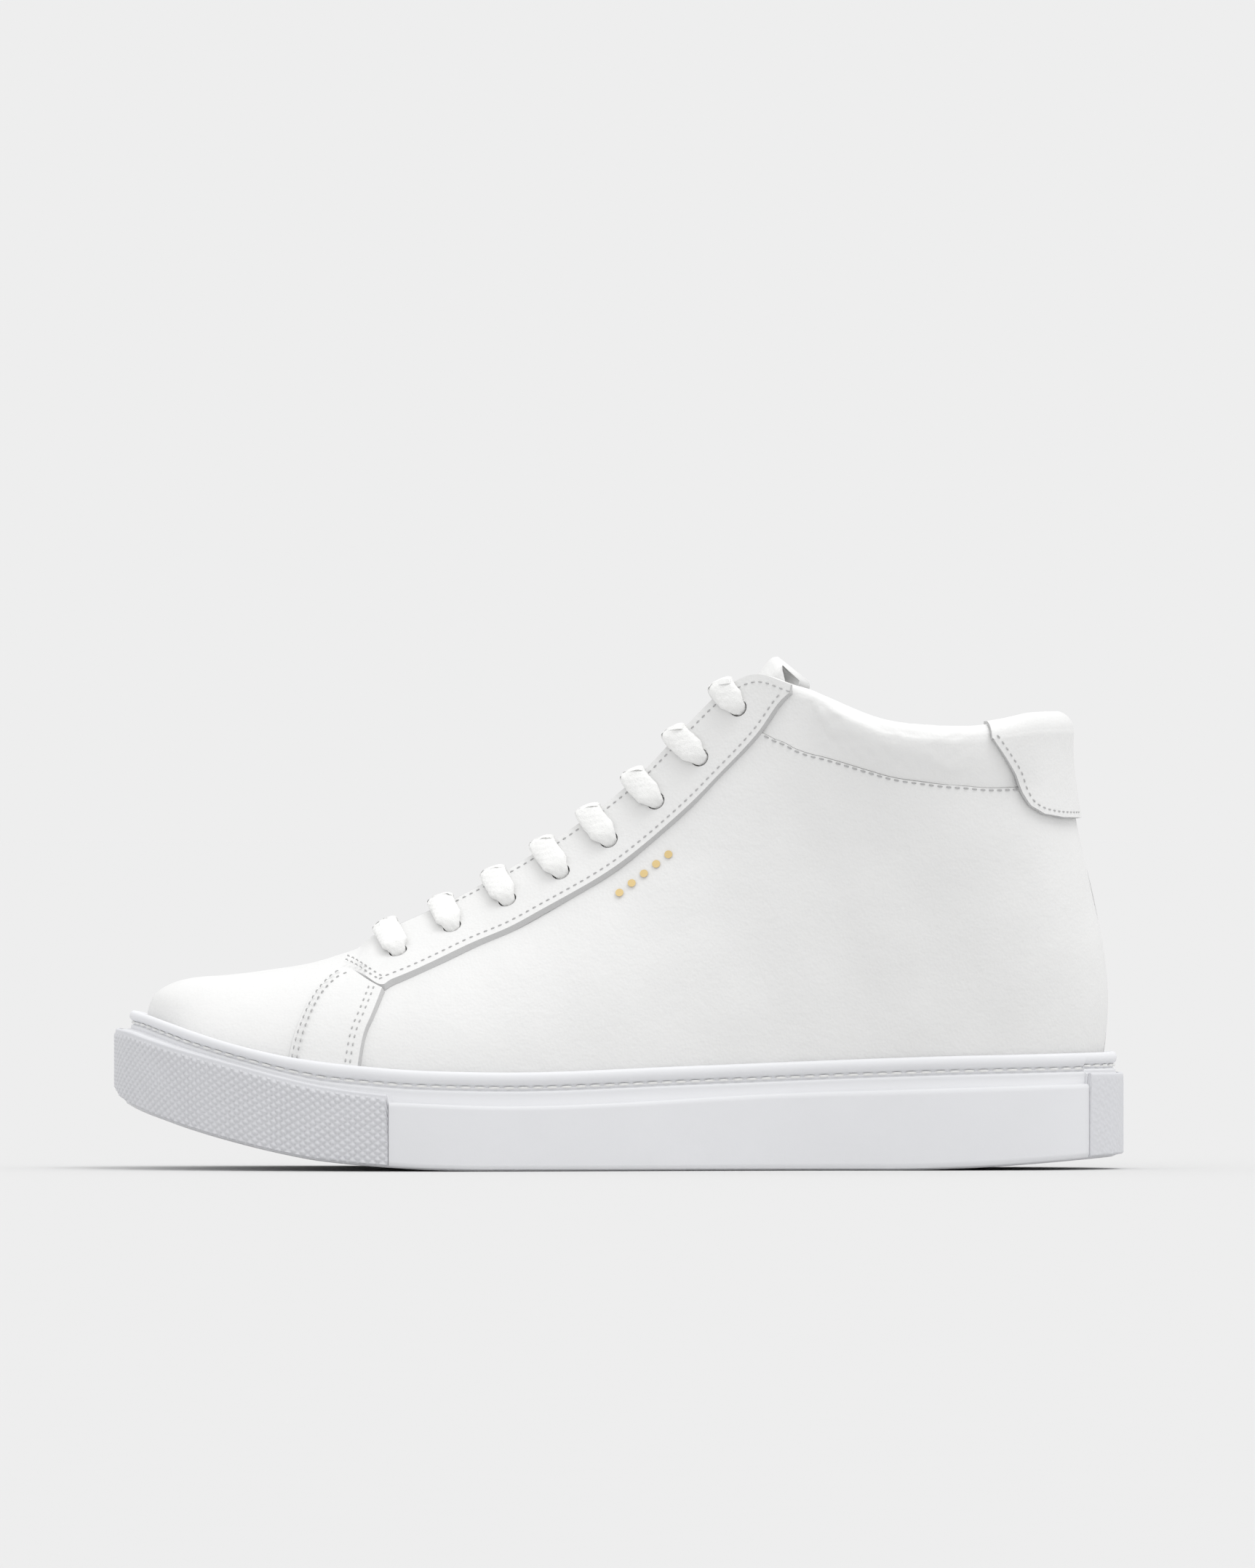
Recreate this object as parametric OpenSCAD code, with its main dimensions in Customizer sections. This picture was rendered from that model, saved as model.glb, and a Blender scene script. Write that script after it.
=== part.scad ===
// High-top court sneaker, left foot: a cemented and stitched cupsole, a leather upper with
// straight-bar lacing, a padded collar and a padded tongue that flexes at its sewn base.
// Toe towards -X, heel towards +X, outer side towards -Y, ground at Z = 0.

/* [Shoe size] */
// Length of the sole from toe to heel
sole_length = 300; // [250:1:360]
// Width of the sole across the ball of the foot
sole_width = 109; // [91:1:131]
// Height from the ground to the tip of the tongue
upper_height = 153; // [128:1:184]
// Height of the rolled lip above the ground at the waist of the sole
sole_stack = 29; // [24:0.5:35]

/* [Sole unit] */
// Thickness of the knurled toe and heel bumpers
bumper_t = 1.4; // [1:0.1:2.5]
// How far the side band stands back from the bumpers
band_step = 0.5; // [0.2:0.1:0.8]
// Thickness of the cup's wall at the lip
lip_wall = 2.2; // [1.6:0.1:3.5]
// How far the lip leans in over the toe
toe_lean = 2.6; // [0:0.1:5]
// Thickness of the tread under the filler
tread_t = 7; // [5:0.5:8.5]
// Gap from the ground up to the bumpers and the side band
foot_gap = 0.6; // [0.3:0.1:1]
// Depth of the stitch line below the lip
stitch_drop = 4.6; // [4:0.1:6]
// Diameter of the sidewall thread
thread_d = 1; // [0.6:0.1:1.4]
// Radius of the shock pad under the heel
pad_r = 23; // [15:0.5:27]

/* [Footbed and board] */
// Depth from the lip to the underside of the lasting board
board_drop = 12; // [11:0.5:13]
// Thickness of the lasting board
board_t = 2; // [1.2:0.1:2.6]
// Thickness of the footbed foam
footbed_t = 3.8; // [2:0.1:4.2]
// Thickness of the footbed cover
cover_t = 1; // [0.5:0.1:1.4]

/* [Upper] */
// Thickness of the outer leather
leather_t = 1.3; // [0.9:0.1:1.4]
// Thickness of the stiffeners: toe puff, heel counter and eyestay backing
stiffener_t = 1.1; // [0.6:0.1:1.2]
// Thickness of the lining
lining_t = 1; // [0.6:0.1:1.2]
// Thickness of the padded collar
collar_t = 9; // [7.5:0.5:11]
// How far the padded collar stands proud of the quarter
collar_crown = 2.6; // [1:0.1:3.5]
// Thickness of the padding in the tongue
tongue_pad = 4.6; // [2:0.1:6]

/* [Lacing] */
// Diameter of the lace
lace_d = 4.2; // [3:0.1:5.1]
// Room around the lace in each punched eyelet, across the hole
lace_room = 1.4; // [1.2:0.1:2]
// Length of each lace tip
aglet_length = 8; // [5:0.5:9]

/* [Hidden] */

$fn = 48;
LATERAL = -1;
MEDIAL = 1;

// Clearances
glue_gap = 0.1;
layer_gap = 0.3;
wall_gap = 0.3;
seam_gap = 0.4;

// Last coordinates: the curves below are drawn for a 300 x 109 mm sole with a 29 mm stack and a
// 153 mm tongue, and place() carries them to the sizes that are set.
scale_x = sole_length / 300;
scale_y = sole_width / 109;
scale_sole = sole_stack / 29;
scale_upper = (upper_height - sole_stack) / (153 - 29);

function lift(z) = z <= 29 ? z * scale_sole : sole_stack + (z - 29) * scale_upper;
function place(p) = [p.x * scale_x, p.y * scale_y, lift(p.z)];

// Plan outline of the sole, from the back of the heel along the outer side to the toe and back.
PLAN = [
    [150, 1], [146, -16], [128, -31], [95, -36.5], [50, -38.5], [2, -48], [-50, -55],
    [-100, -48], [-130, -31], [-146, -8], [-150, 11], [-146, 28], [-129, 44], [-98, 53.2],
    [-60, 53.2], [-10, 42], [50, 34.5], [95, 35.5], [128, 30.5], [146, 17]
];

// Side curves of the sole, height over length.
LIP = [[-150, 47.5], [-141, 47], [-120, 39.6], [-96, 33.8], [-79, 31.5], [-57, 29.7], [-32, 29.2],
    [21, 31], [97, 33.8], [150, 34.9]];
TREAD = [[-150, 23.5], [-148, 20.6], [-132, 13.9], [-118, 9.6], [-100, 5.2], [-88, 3], [-68, 1.1],
    [-50, 0.2], [-38, 0], [80, 0], [100, 0.5], [150, 4]];
BUMPER_TOP = [[-150, 41.8], [-147, 41.3], [-132, 35], [-113, 30], [-92, 26.4], [-68, 23.2]];
BAND_TOP = [[-68, 20.4], [-32, 19.2], [54, 23], [95, 24.2], [150, 25.8]];
HEEL_TOP = 28.7;
TOE_END = -68;
HEEL_START = 139.8;

// Ribs of the upper, from the toe to the heel. Each holds its place along the plan outline, the
// top of the rib (length, toe bias, half width, height), the rise and lean of its lower handle,
// and its upper handle measured from the top (length, width outwards, height).
RIBS = [
    [0.0, [-99, 6, 0, 59.6], [18, -1.5], [-21, 0, -2.7]],
    [1.0, [-95, 5, 0, 60.3], [17, -1], [-14, 14, -2]],
    [2.0, [-89, 4, 0, 61.7], [17, 0], [-5, 22, -1.2]],
    [2.7, [-82, 2, 0, 63.9], [19, 1], [-1, 27, -0.8]],
    [3.25, [-76, 0.5, 0, 66.1], [21, 1.5], [0, 29, -1.5]],
    [3.7, [-66, 0, 9.5, 70.7], [24, 1.5], [1, 22, -9]],
    [4.2, [-45, 0, 11, 80.6], [28, 1], [2, 20, -14]],
    [4.8, [-20, 0, 12.5, 95.6], [32, 1], [3, 18, -20]],
    [5.5, [5, 0, 14.5, 114.8], [36, 1.5], [5, 14, -26]],
    [6.25, [34.8, 0, 19.5, 144.4], [40, 2], [8, 8, -32]],
    [6.75, [52.5, 0, 26, 143.4], [38, 3], [8, 4, -36]],
    [7.3, [78, 0, 33, 133.6], [36, 3.5], [5, -1, -34]],
    [7.9, [103, 0, 32, 131.4], [34, 4], [1, -1, -34]],
    [8.7, [123, 0, 22.5, 134.2], [36, 8.5], [-3, -1.5, -34]],
    [10.0, [134.5, 0, 0, 134.5], [38, 13], [-5.5, 0, -34.5]]
];
SEAM = 4;
HEEL = 14;

// Seams of the upper in side view, length and height.
EYESTAY_LOW = [[-80.4, 61.8], [-74.5, 58.4], [-69, 54.6], [-65, 55.2], [-46, 64.9], [-32, 70.6],
    [-20.6, 77.5], [-2.5, 87.5], [11.5, 99.1], [27, 114.5], [41.3, 129.2], [51, 141.2]];
QUARTER_TOP = [[-76.8, 60.5], [-66, 59], [-47, 67.6], [-33, 74.6], [-21.5, 81], [-5, 90.5],
    [8.5, 101.5], [23, 116], [32, 124.6], [41.5, 128.6], [46, 127.4], [52, 124.8], [63.4, 121.4],
    [75, 117.9], [89.3, 115], [103.7, 113.6], [118, 113.3], [135.3, 113.5]];
STAY_FRONT = [[-96.6, 34.6], [-94.4, 43.5], [-89.7, 52.8], [-84.4, 58.9], [-81, 61]];
STAY_REAR = [[-76.6, 32.3], [-75.1, 39.6], [-72.9, 45], [-71, 49.6], [-69.6, 53.2]];
EYELETS = [[-64.8, 63.7], [-48.8, 71.1], [-32.4, 79.1], [-16.6, 87.5], [-2.4, 97.2],
    [11.5, 108.9], [24.4, 121.9], [35.7, 136.8]];
TAB_LOW = [[109.5, 128], [113.5, 122], [116.6, 117], [118.6, 111.8], [121, 107.8], [125, 105.3],
    [130.5, 104.2], [135.2, 104]];
TONGUE_TIP = [46.2, 0, 153.1];
MARK_CENTRE = [7.6, 87.7];
MARK_SLOPE = 38;
MARK_PITCH = 4.6;
MARK_DOTS = 5;

// Depths inside the upper, measured inwards from the outer face of the vamp and quarters.
overlay_in = layer_gap;
overlay_out = layer_gap + leather_t;
stiffener_out = leather_t + layer_gap;
stiffener_in = stiffener_out + stiffener_t;
lining_out = stiffener_in + layer_gap;
lining_in = lining_out + lining_t;
grip_in = lining_in + layer_gap + lining_t;
lace_run = stiffener_in + layer_gap + lace_d / 2;
tongue_depth = lace_run + lace_d / 2 + 0.6;
lace_rise = overlay_out + layer_gap + lace_d / 2;
bend = lace_d / 2 + 0.4;
eyelet_d = lace_d + lace_room;

// Insets from the plan outline
cup_inset = bumper_t + glue_gap;
lip_inset = cup_inset + 0.9;
inner_inset = lip_inset + lip_wall;
inner_lean = toe_lean + 1.4;
upper_inset = inner_inset + wall_gap;

// ---------------------------------------------------------------- curves and lists

function mix(a, b, f) = a + (b - a) * f;
function clamp(v, lo, hi) = min(hi, max(lo, v));
function unit(v) = v / norm(v);
function ease(f) = let (c = clamp(f, 0, 1)) c * c * (3 - 2 * c);

// Smooth curve through four neighbouring values
function cubic(a, b, c, d, f) =
    b + f / 2 * ((c - a) + f * ((2 * a - 5 * b + 4 * c - d) + f * (3 * (b - c) + d - a)));

// Smooth curve through a list, at a fractional index; past its ends the list runs on straight
function entry(list, i) =
    let (n = len(list))
    i < 0 ? 2 * list[0] - list[1] : i >= n ? 2 * list[n - 1] - list[n - 2] : list[i];
function along(list, v) =
    let (i = clamp(floor(v), 0, len(list) - 2))
    cubic(entry(list, i - 1), list[i], list[i + 1], entry(list, i + 2), v - i);

// Height of a side curve at a length, with no overshoot between its points
function chord(pts, i) = (pts[i + 1].y - pts[i].y) / (pts[i + 1].x - pts[i].x);
function slope_at(pts, i) =
    let (
        a = chord(pts, max(i - 1, 0)),
        b = chord(pts, min(i, len(pts) - 2))
    )
    a * b <= 0 ? 0 : 2 * a * b / (a + b);
function span_of(pts, x, i = 0) = i >= len(pts) - 2 || x < pts[i + 1].x ? i : span_of(pts, x, i + 1);
function graph(pts, x) =
    let (
        c = clamp(x, pts[0].x, pts[len(pts) - 1].x),
        i = span_of(pts, c),
        w = pts[i + 1].x - pts[i].x,
        f = (c - pts[i].x) / w
    )
    (1 + 2 * f) * (1 - f) * (1 - f) * pts[i].y + f * (1 - f) * (1 - f) * w * slope_at(pts, i)
        + f * f * (3 - 2 * f) * pts[i + 1].y - f * f * (1 - f) * w * slope_at(pts, i + 1);

lip = function (x) lift(graph(LIP, x / scale_x));
tread = function (x) lift(graph(TREAD, x / scale_x));
bumper_top = function (x) lift(graph(BUMPER_TOP, x / scale_x));
band_top = function (x) lift(graph(BAND_TOP, x / scale_x));
heel_top = function (x) lift(HEEL_TOP);

// ---------------------------------------------------------------- plan outline

function plan(k) =
    let (n = len(PLAN), i = floor(k))
    cubic(PLAN[(i + n - 1) % n], PLAN[(i + n) % n], PLAN[(i + n + 1) % n],
        PLAN[(i + n + 2) % n], k - i);
function flat(p) = [p.x * scale_x, p.y * scale_y];
function toe_share(x) = ease((-105 * scale_x - x) / (45 * scale_x));

// A point of the outline moved in by inset, and by lean more at the toe
function edge_point(k, inset, lean) =
    let (
        p = flat(plan(k)),
        d = unit(flat(plan(k + 0.02)) - flat(plan(k - 0.02)))
    )
    p + (inset + lean * toe_share(p.x)) * [d.y, -d.x];
function outline(inset, lean = 0) = [for (k = [0:0.25:19.9]) edge_point(k, inset, lean)];

// ---------------------------------------------------------------- surface of the upper

function column(c, i) =
    i < 0 ? RIBS[1][c] : i > HEEL ? RIBS[HEEL - 1][c] : RIBS[i][c];
function sided(v, i, n) = [for (j = [0:len(v) - 1]) j == n && (i < 0 || i > HEEL) ? -v[j] : v[j]];
function rib_value(c, n, s) =
    let (i = clamp(floor(s), 0, HEEL - 1))
    cubic(sided(column(c, i - 1), i - 1, n), sided(column(c, i), i, n),
        sided(column(c, i + 1), i + 1, n), sided(column(c, i + 2), i + 2, n), s - i);
function rib_place(i) = i < 0 ? -RIBS[1][0] : i > HEEL ? 20 - RIBS[HEEL - 1][0] : RIBS[i][0];
function rib_foot(s) =
    let (i = clamp(floor(s), 0, HEEL - 1))
    cubic(rib_place(i - 1), rib_place(i), rib_place(i + 1), rib_place(i + 2), s - i);

// The four control points of the rib at s on one side
function rib(side, s) =
    let (
        rise = rib_value(2, -1, s),
        top = rib_value(1, 2, s),
        pull = rib_value(3, 1, s),
        k = 10 + side * rib_foot(s),
        tuck = upper_inset + 0.26 * max(rise.y, 0),
        base = edge_point(k, tuck, inner_lean),
        out = unit(edge_point(k, tuck - 1, inner_lean) - base),
        half = s <= SEAM ? 0 : max(top[2], 0),
        t = place([top[0], top[1] + side * half, top[3]]),
        z = lip(base.x) - upper_drop
    )
    [
        [base.x, base.y, z],
        [base.x + out.x * rise.y, base.y + out.y * rise.y, z + rise.x * scale_upper],
        t + [pull.x * scale_x, side * pull.y * scale_y, pull.z * scale_upper],
        t
    ];
upper_drop = board_drop - board_t - seam_gap;

function bezier(b, t) =
    let (u = 1 - t)
    u * u * u * b[0] + 3 * u * u * t * b[1] + 3 * u * t * t * b[2] + t * t * t * b[3];
function bezier_slope(b, t) =
    let (u = 1 - t)
    3 * (u * u * (b[1] - b[0]) + 2 * u * t * (b[2] - b[1]) + t * t * (b[3] - b[2]));

// A place on the upper is [side, s, t]: the side, the rib and the height along it.
function skin(q) = bezier(rib(q[0], q[1]), q[2]);
function skin_normal(q) =
    let (
        t = min(q[2], 0.97),
        s0 = max(q[1] - 0.03, 0.002),
        s1 = min(q[1] + 0.03, HEEL),
        ds = bezier(rib(q[0], s1), t) - bezier(rib(q[0], s0), t),
        dt = bezier_slope(rib(q[0], q[1]), t),
        n = unit(-q[0] * cross(ds, dt))
    )
    q[1] < 0.01 ? unit([n.x, 0, n.z]) : q[1] > HEEL - 0.01 ? unit([n.x, 0, n.z]) : n;
function raised(q, off) = skin(q) + off * skin_normal(q);

// The rib and height at a side-view point: a coarse search, then Newton steps
function gap_to(s, t, x, z) = let (p = skin([LATERAL, s, t])) [p.x - x, p.z - z];
function nearest(x, z) =
    let (
        tries = [for (s = [0.5:1:HEEL]) for (t = [0.15:0.2:0.95]) [norm(gap_to(s, t, x, z)), s, t]],
        best = min([for (v = tries) v[0]])
    )
    [for (v = tries) if (v[0] == best) [v[1], v[2]]][0];
function refine(q, x, z, steps) =
    steps == 0 ? q :
    let (
        e = 0.01,
        f = gap_to(q[0], q[1], x, z),
        a = (gap_to(min(q[0] + e, HEEL), q[1], x, z) - f) / e,
        b = (gap_to(q[0], q[1] - e, x, z) - f) / -e,
        det = a.x * b.y - a.y * b.x,
        ds = (f.x * b.y - f.y * b.x) / det,
        dt = (a.x * f.y - a.y * f.x) / det
    )
    refine([clamp(q[0] - clamp(ds, -0.8, 0.8), 0.05, HEEL - 0.011),
        clamp(q[1] - clamp(dt, -0.2, 0.2), 0.01, 1)], x, z, steps - 1);
function seek(p) =
    let (t = place([p.x, 0, p.y]))
    refine(nearest(t.x, t.z), t.x, t.z, 7);
function seek_all(pts) = [for (p = pts) seek(p)];

// Rib at which the top edge of the upper passes a length
function top_rib(x, lo = SEAM, hi = HEEL, steps = 12) =
    let (m = (lo + hi) / 2)
    steps == 0 ? m : rib(LATERAL, m)[3].x < x * scale_x ? top_rib(x, m, hi, steps - 1)
        : top_rib(x, lo, m, steps - 1);

// ---------------------------------------------------------------- solids from grids

// Faces of a closed shell between two grids of rows x cols points, outer grid first. A folded
// grid's last column meets itself, and its two halves share their points there.
function shell_faces(rows, cols, folded = false) =
    let (
        n = rows * cols,
        half = (rows - 1) / 2,
        id = function (i, j) folded && j == cols - 1 && i > half ? (rows - 1 - i) * cols + j
            : i * cols + j
    )
    [
        for (i = [0:rows - 2]) for (j = [0:cols - 2]) let (
            a = id(i, j), b = id(i + 1, j), c = id(i + 1, j + 1), d = id(i, j + 1)
        ) each [[a, b, c], if (c != d) [a, c, d], [n + a, n + c, n + b], if (c != d) [n + a, n + d, n + c]],
        for (i = [0:rows - 2]) let (a = id(i, 0), b = id(i + 1, 0)) each [
            [a, n + a, n + b], [a, n + b, b]],
        for (j = [0:cols - 2]) let (
            a = id(0, j), b = id(0, j + 1), c = id(rows - 1, j), d = id(rows - 1, j + 1)
        ) each [[a, b, n + b], [a, n + b, n + a], [c, n + c, n + d], [c, n + d, d]],
        if (!folded) for (i = [0:rows - 2]) let (
            a = id(i, cols - 1), b = id(i + 1, cols - 1)
        ) each [[a, b, n + b], [a, n + b, n + a]]
    ];

// A closed shell between an outer and an inner grid. The grid's winding depends on the side.
module shell(outer, inner, folded = false, flip = false) {
    rows = len(outer);
    cols = len(outer[0]);
    faces = shell_faces(rows, cols, folded);
    polyhedron(
        points = concat([for (r = outer) each r], [for (r = inner) each r]),
        faces = flip ? [for (f = faces) [f[0], f[2], f[1]]] : faces
    );
}

// A panel of the upper between two depths, on a grid of places. Depths are positive inwards.
module panel(grid, outer, inner, folded = false) {
    shell(
        [for (r = grid) [for (q = r) raised(q, -outer)]],
        [for (r = grid) [for (q = r) raised(q, -inner)]],
        folded,
        flip = grid[0][0][0] == LATERAL
    );
}

// Grid between a lower and an upper edge, each a list of [rib, height] pairs, up to entry last
function ruled(side, low, high, rows, cols, last) =
    [for (i = [0:rows - 1])
        let (
            v = i / (rows - 1) * last,
            a = along(low, v),
            b = along(high, v)
        )
        [for (j = [0:cols - 1]) let (q = mix(a, b, j / (cols - 1)))
            [side, clamp(q[0], 0, HEEL - 0.011), clamp(q[1], 0, 1)]]];
// Grid around the toe or the heel: from the outer side to the inner side between two heights
function wrap(from, to, rows, cols, low, high) =
    [for (i = [0:2 * rows])
        let (
            f = abs(i / rows - 1),
            side = (i < rows) ? LATERAL : MEDIAL,
            s = mix(to, from, f)
        )
        [for (j = [0:cols - 1]) [side, s, mix(low, high, j / (cols - 1))]]];

// ---------------------------------------------------------------- sole unit

// A slab between two side curves, from x0 to x1
module slab(low, high, x0, x1) {
    steps = 36;
    xs = [for (i = [0:steps]) mix(x0, x1, i / steps)];
    rotate([90, 0, 0])
        linear_extrude(height = 2 * sole_width, center = true)
            polygon(concat(
                [for (x = xs) [x, low(x)]],
                [for (i = [steps:-1:0]) [xs[i], high(xs[i])]]
            ));
}

// The part of a slab inside an outline, or between two outlines
module slice(low, high, x0, x1, inset, lean = 0, hole = undef, hole_lean = 0) {
    intersection() {
        linear_extrude(height = upper_height)
            difference() {
                polygon(outline(inset, lean));
                if (!is_undef(hole)) {
                    polygon(outline(hole, hole_lean));
                }
            }
        slab(low, high, x0, x1);
    }
}

toe_x = -sole_length / 2 - 1;
heel_x = sole_length / 2 + 1;
toe_end = TOE_END * scale_x;
heel_start = HEEL_START * scale_x;
trim_low = function (x) tread(x) + foot_gap;
cup_floor = function (x) tread(x) + tread_t;
cup_open = function (x) lip(x) + 5;
stitch_low = function (x) lip(x) - stitch_drop - thread_d / 2;
stitch_high = function (x) lip(x) - stitch_drop + thread_d / 2;
board_low = function (x) lip(x) - board_drop;
board_high = function (x) lip(x) - board_drop + board_t;
filler_low = function (x) cup_floor(x) + glue_gap;
filler_high = function (x) board_low(x) - glue_gap;
pad_low = function (x) cup_floor(x) + pad_lift;
footbed_low = function (x) board_high(x) + glue_gap;
footbed_high = function (x) footbed_low(x) + footbed_t;
cover_low = function (x) footbed_high(x) + glue_gap;
cover_high = function (x) cover_low(x) + cover_t;
pad_lift = 3;
pad_x = 104 * scale_x;
footbed_inset = upper_inset + 1.6 + grip_in + wall_gap;

module outsole_cup() {
    color([0.93, 0.93, 0.95])
    difference() {
        union() {
            slice(tread, bumper_top, toe_x, toe_end, cup_inset);
            slice(tread, band_top, toe_end, heel_start, cup_inset);
            slice(tread, heel_top, heel_start, heel_x, cup_inset);
            slice(tread, lip, toe_x, heel_x, lip_inset, toe_lean);
        }
        slice(cup_floor, cup_open, toe_x, heel_x, inner_inset, inner_lean);
        slice(
            function (x) stitch_low(x) - glue_gap,
            function (x) stitch_high(x) + glue_gap,
            toe_x, heel_x, -1, 0, lip_inset + thread_d + glue_gap, toe_lean
        );
    }
}

module toe_bumper() {
    color([0.9, 0.9, 0.93])
    slice(trim_low, bumper_top, toe_x, toe_end - glue_gap, 0, 0, bumper_t);
}

module heel_bumper() {
    color([0.9, 0.9, 0.93])
    slice(trim_low, heel_top, heel_start + glue_gap, heel_x, 0, 0, bumper_t);
}

// The raised lower band on one side, between the bumpers
module foxing(side) {
    color([0.93, 0.93, 0.95])
    intersection() {
        slice(trim_low, band_top, toe_end, heel_start, band_step, 0, bumper_t);
        translate([0, side * sole_width, 0])
            cube([2 * sole_length, 2 * sole_width, 2 * upper_height], center = true);
    }
}
module foxing_lateral() foxing(LATERAL);
module foxing_medial() foxing(MEDIAL);

module sidewall_stitching() {
    color([0.97, 0.97, 0.97])
    slice(stitch_low, stitch_high, toe_x, heel_x, lip_inset, toe_lean, lip_inset + thread_d, toe_lean);
}

module midsole_filler() {
    color([0.85, 0.85, 0.82])
    difference() {
        slice(filler_low, filler_high, toe_x, heel_x, upper_inset, inner_lean);
        translate([pad_x, 0, 0])
            intersection() {
                cylinder(r = pad_r + glue_gap, h = upper_height);
                translate([-pad_x, 0, 0])
                    slab(function (x) pad_low(x) - glue_gap, cup_open, toe_x, heel_x);
            }
    }
}

module heel_pad() {
    color([0.55, 0.75, 0.9])
    intersection() {
        translate([pad_x, 0, 0])
            cylinder(r = pad_r, h = upper_height);
        slab(pad_low, filler_high, toe_x, heel_x);
    }
}

module lasting_board() {
    color([0.8, 0.76, 0.68])
    slice(board_low, board_high, toe_x, heel_x, upper_inset, inner_lean);
}

module footbed_foam() {
    color([0.88, 0.88, 0.86])
    slice(footbed_low, footbed_high, toe_x, heel_x, footbed_inset, inner_lean);
}

module footbed_cover() {
    color([0.95, 0.94, 0.92])
    slice(cover_low, cover_high, toe_x, heel_x, footbed_inset, inner_lean);
}

// ---------------------------------------------------------------- vamp, quarters and overlays

vamp_rows = 16;
// Rib at which the heel counter starts, and the step between ribs around the heel
COUNTER_START = 11.8;
HEEL_STEP = 0.2;
GRIP_START = 12.6;
quarter_rows = 20;
quarter_ribs = concat(
    [for (i = [0:quarter_rows]) mix(SEAM + 0.03, COUNTER_START, i / quarter_rows)],
    [for (s = [COUNTER_START + HEEL_STEP:HEEL_STEP:HEEL - HEEL_STEP / 2]) s],
    [HEEL - 0.012]
);

module vamp() {
    color([0.97, 0.97, 0.96])
    panel(wrap(SEAM - 0.03, 0, vamp_rows, 12, 0, 1), 0, leather_t, folded = true);
}

module vamp_lining() {
    color([0.93, 0.92, 0.89])
    panel(wrap(SEAM - 0.03, 0, vamp_rows, 12, 0.02, 1), lining_out, lining_in, folded = true);
}

module toe_puff() {
    color([0.85, 0.82, 0.76])
    panel(wrap(2.6, 0, 11, 8, 0.02, 0.72), stiffener_out, stiffener_in);
}

module heel_counter() {
    rows = round((HEEL - COUNTER_START) / HEEL_STEP);
    color([0.85, 0.82, 0.76])
    panel(wrap(COUNTER_START, HEEL, rows, 8, 0.02, 0.56), stiffener_out, stiffener_in);
}

module heel_grip() {
    rows = round((HEEL - GRIP_START) / HEEL_STEP);
    color([0.9, 0.88, 0.84])
    panel(wrap(GRIP_START, HEEL, rows, 7, 0.24, 0.62), lining_in + layer_gap, grip_in);
}

// A side panel from the seam of the vamp round to the middle of the heel
module quarter(side, outer, inner) {
    edge = seek_all(QUARTER_TOP);
    cols = 10;
    grid = [for (s = quarter_ribs)
        let (top = seam_height(edge, max(s, edge[0][0])))
        [for (j = [0:cols - 1]) [side, s, top * j / (cols - 1)]]];
    panel(grid, outer, inner);
}
module quarter_lateral() color([0.97, 0.97, 0.96]) quarter(LATERAL, 0, leather_t);
module quarter_medial() color([0.97, 0.97, 0.96]) quarter(MEDIAL, 0, leather_t);
module quarter_lining_lateral() color([0.93, 0.92, 0.89]) quarter(LATERAL, lining_out, lining_in);
module quarter_lining_medial() color([0.93, 0.92, 0.89]) quarter(MEDIAL, lining_out, lining_in);

module side_stay(side) {
    color([0.98, 0.98, 0.97])
    panel(
        ruled(side, seek_all(STAY_FRONT), seek_all(STAY_REAR), 9, 4, len(STAY_FRONT) - 1),
        -overlay_out, -overlay_in
    );
}
module side_stay_lateral() side_stay(LATERAL);
module side_stay_medial() side_stay(MEDIAL);

eyestay_rows = 34;
// Place along the eyestay's edges where its backing ends, short of the collar
BACKING_END = 10.25;

// Places of the eyestay's throat edge, matched to the points of its lower edge
EYESTAY_TOP_X = [-82, -76.5, -71, -64, -50, -37, -25, -9, 6, 22, 38, 51.5];
function eyestay_edge(t) = [for (x = EYESTAY_TOP_X) [x < -76 ? ridge_rib(x) : top_rib(x), t]];
// Rib at which the ridge of the vamp passes a length
function ridge_rib(x, lo = 0, hi = SEAM + 1, steps = 12) =
    let (m = (lo + hi) / 2)
    steps == 0 ? m : rib(LATERAL, m)[3].x < x * scale_x ? ridge_rib(x, m, hi, steps - 1)
        : ridge_rib(x, lo, m, steps - 1);

module punched(side, outer, inner, margin, last = len(EYESTAY_LOW) - 1) {
    low = seek_all(EYESTAY_LOW);
    high = eyestay_edge(1 - margin / 30);
    inset_low = [for (i = [0:len(low) - 1]) mix(low[i], high[i], margin / 18)];
    difference() {
        panel(ruled(side, inset_low, high, eyestay_rows, 6, last), outer, inner);
        for (e = EYELETS) {
            eyelet_frame(side, e)
                cylinder(d = eyelet_d, h = 4 * stiffener_in, center = true);
        }
    }
}

// Stands its children on the upper at an eyelet, along the normal
module eyelet_frame(side, e) {
    q = concat([side], seek(e));
    n = skin_normal(q);
    u = unit(cross([0, 1, 0], n));
    v = cross(n, u);
    p = skin(q);
    multmatrix([[u.x, v.x, n.x, p.x], [u.y, v.y, n.y, p.y], [u.z, v.z, n.z, p.z], [0, 0, 0, 1]])
        children();
}

module eyestay_lateral() color([0.98, 0.98, 0.97]) punched(LATERAL, -overlay_out, -overlay_in, 0);
module eyestay_medial() color([0.98, 0.98, 0.97]) punched(MEDIAL, -overlay_out, -overlay_in, 0);
module eyestay_backing_lateral()
    color([0.85, 0.82, 0.76]) punched(LATERAL, stiffener_out, stiffener_in, 1, BACKING_END);
module eyestay_backing_medial()
    color([0.85, 0.82, 0.76]) punched(MEDIAL, stiffener_out, stiffener_in, 1, BACKING_END);

// ---------------------------------------------------------------- collar and heel tab

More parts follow.
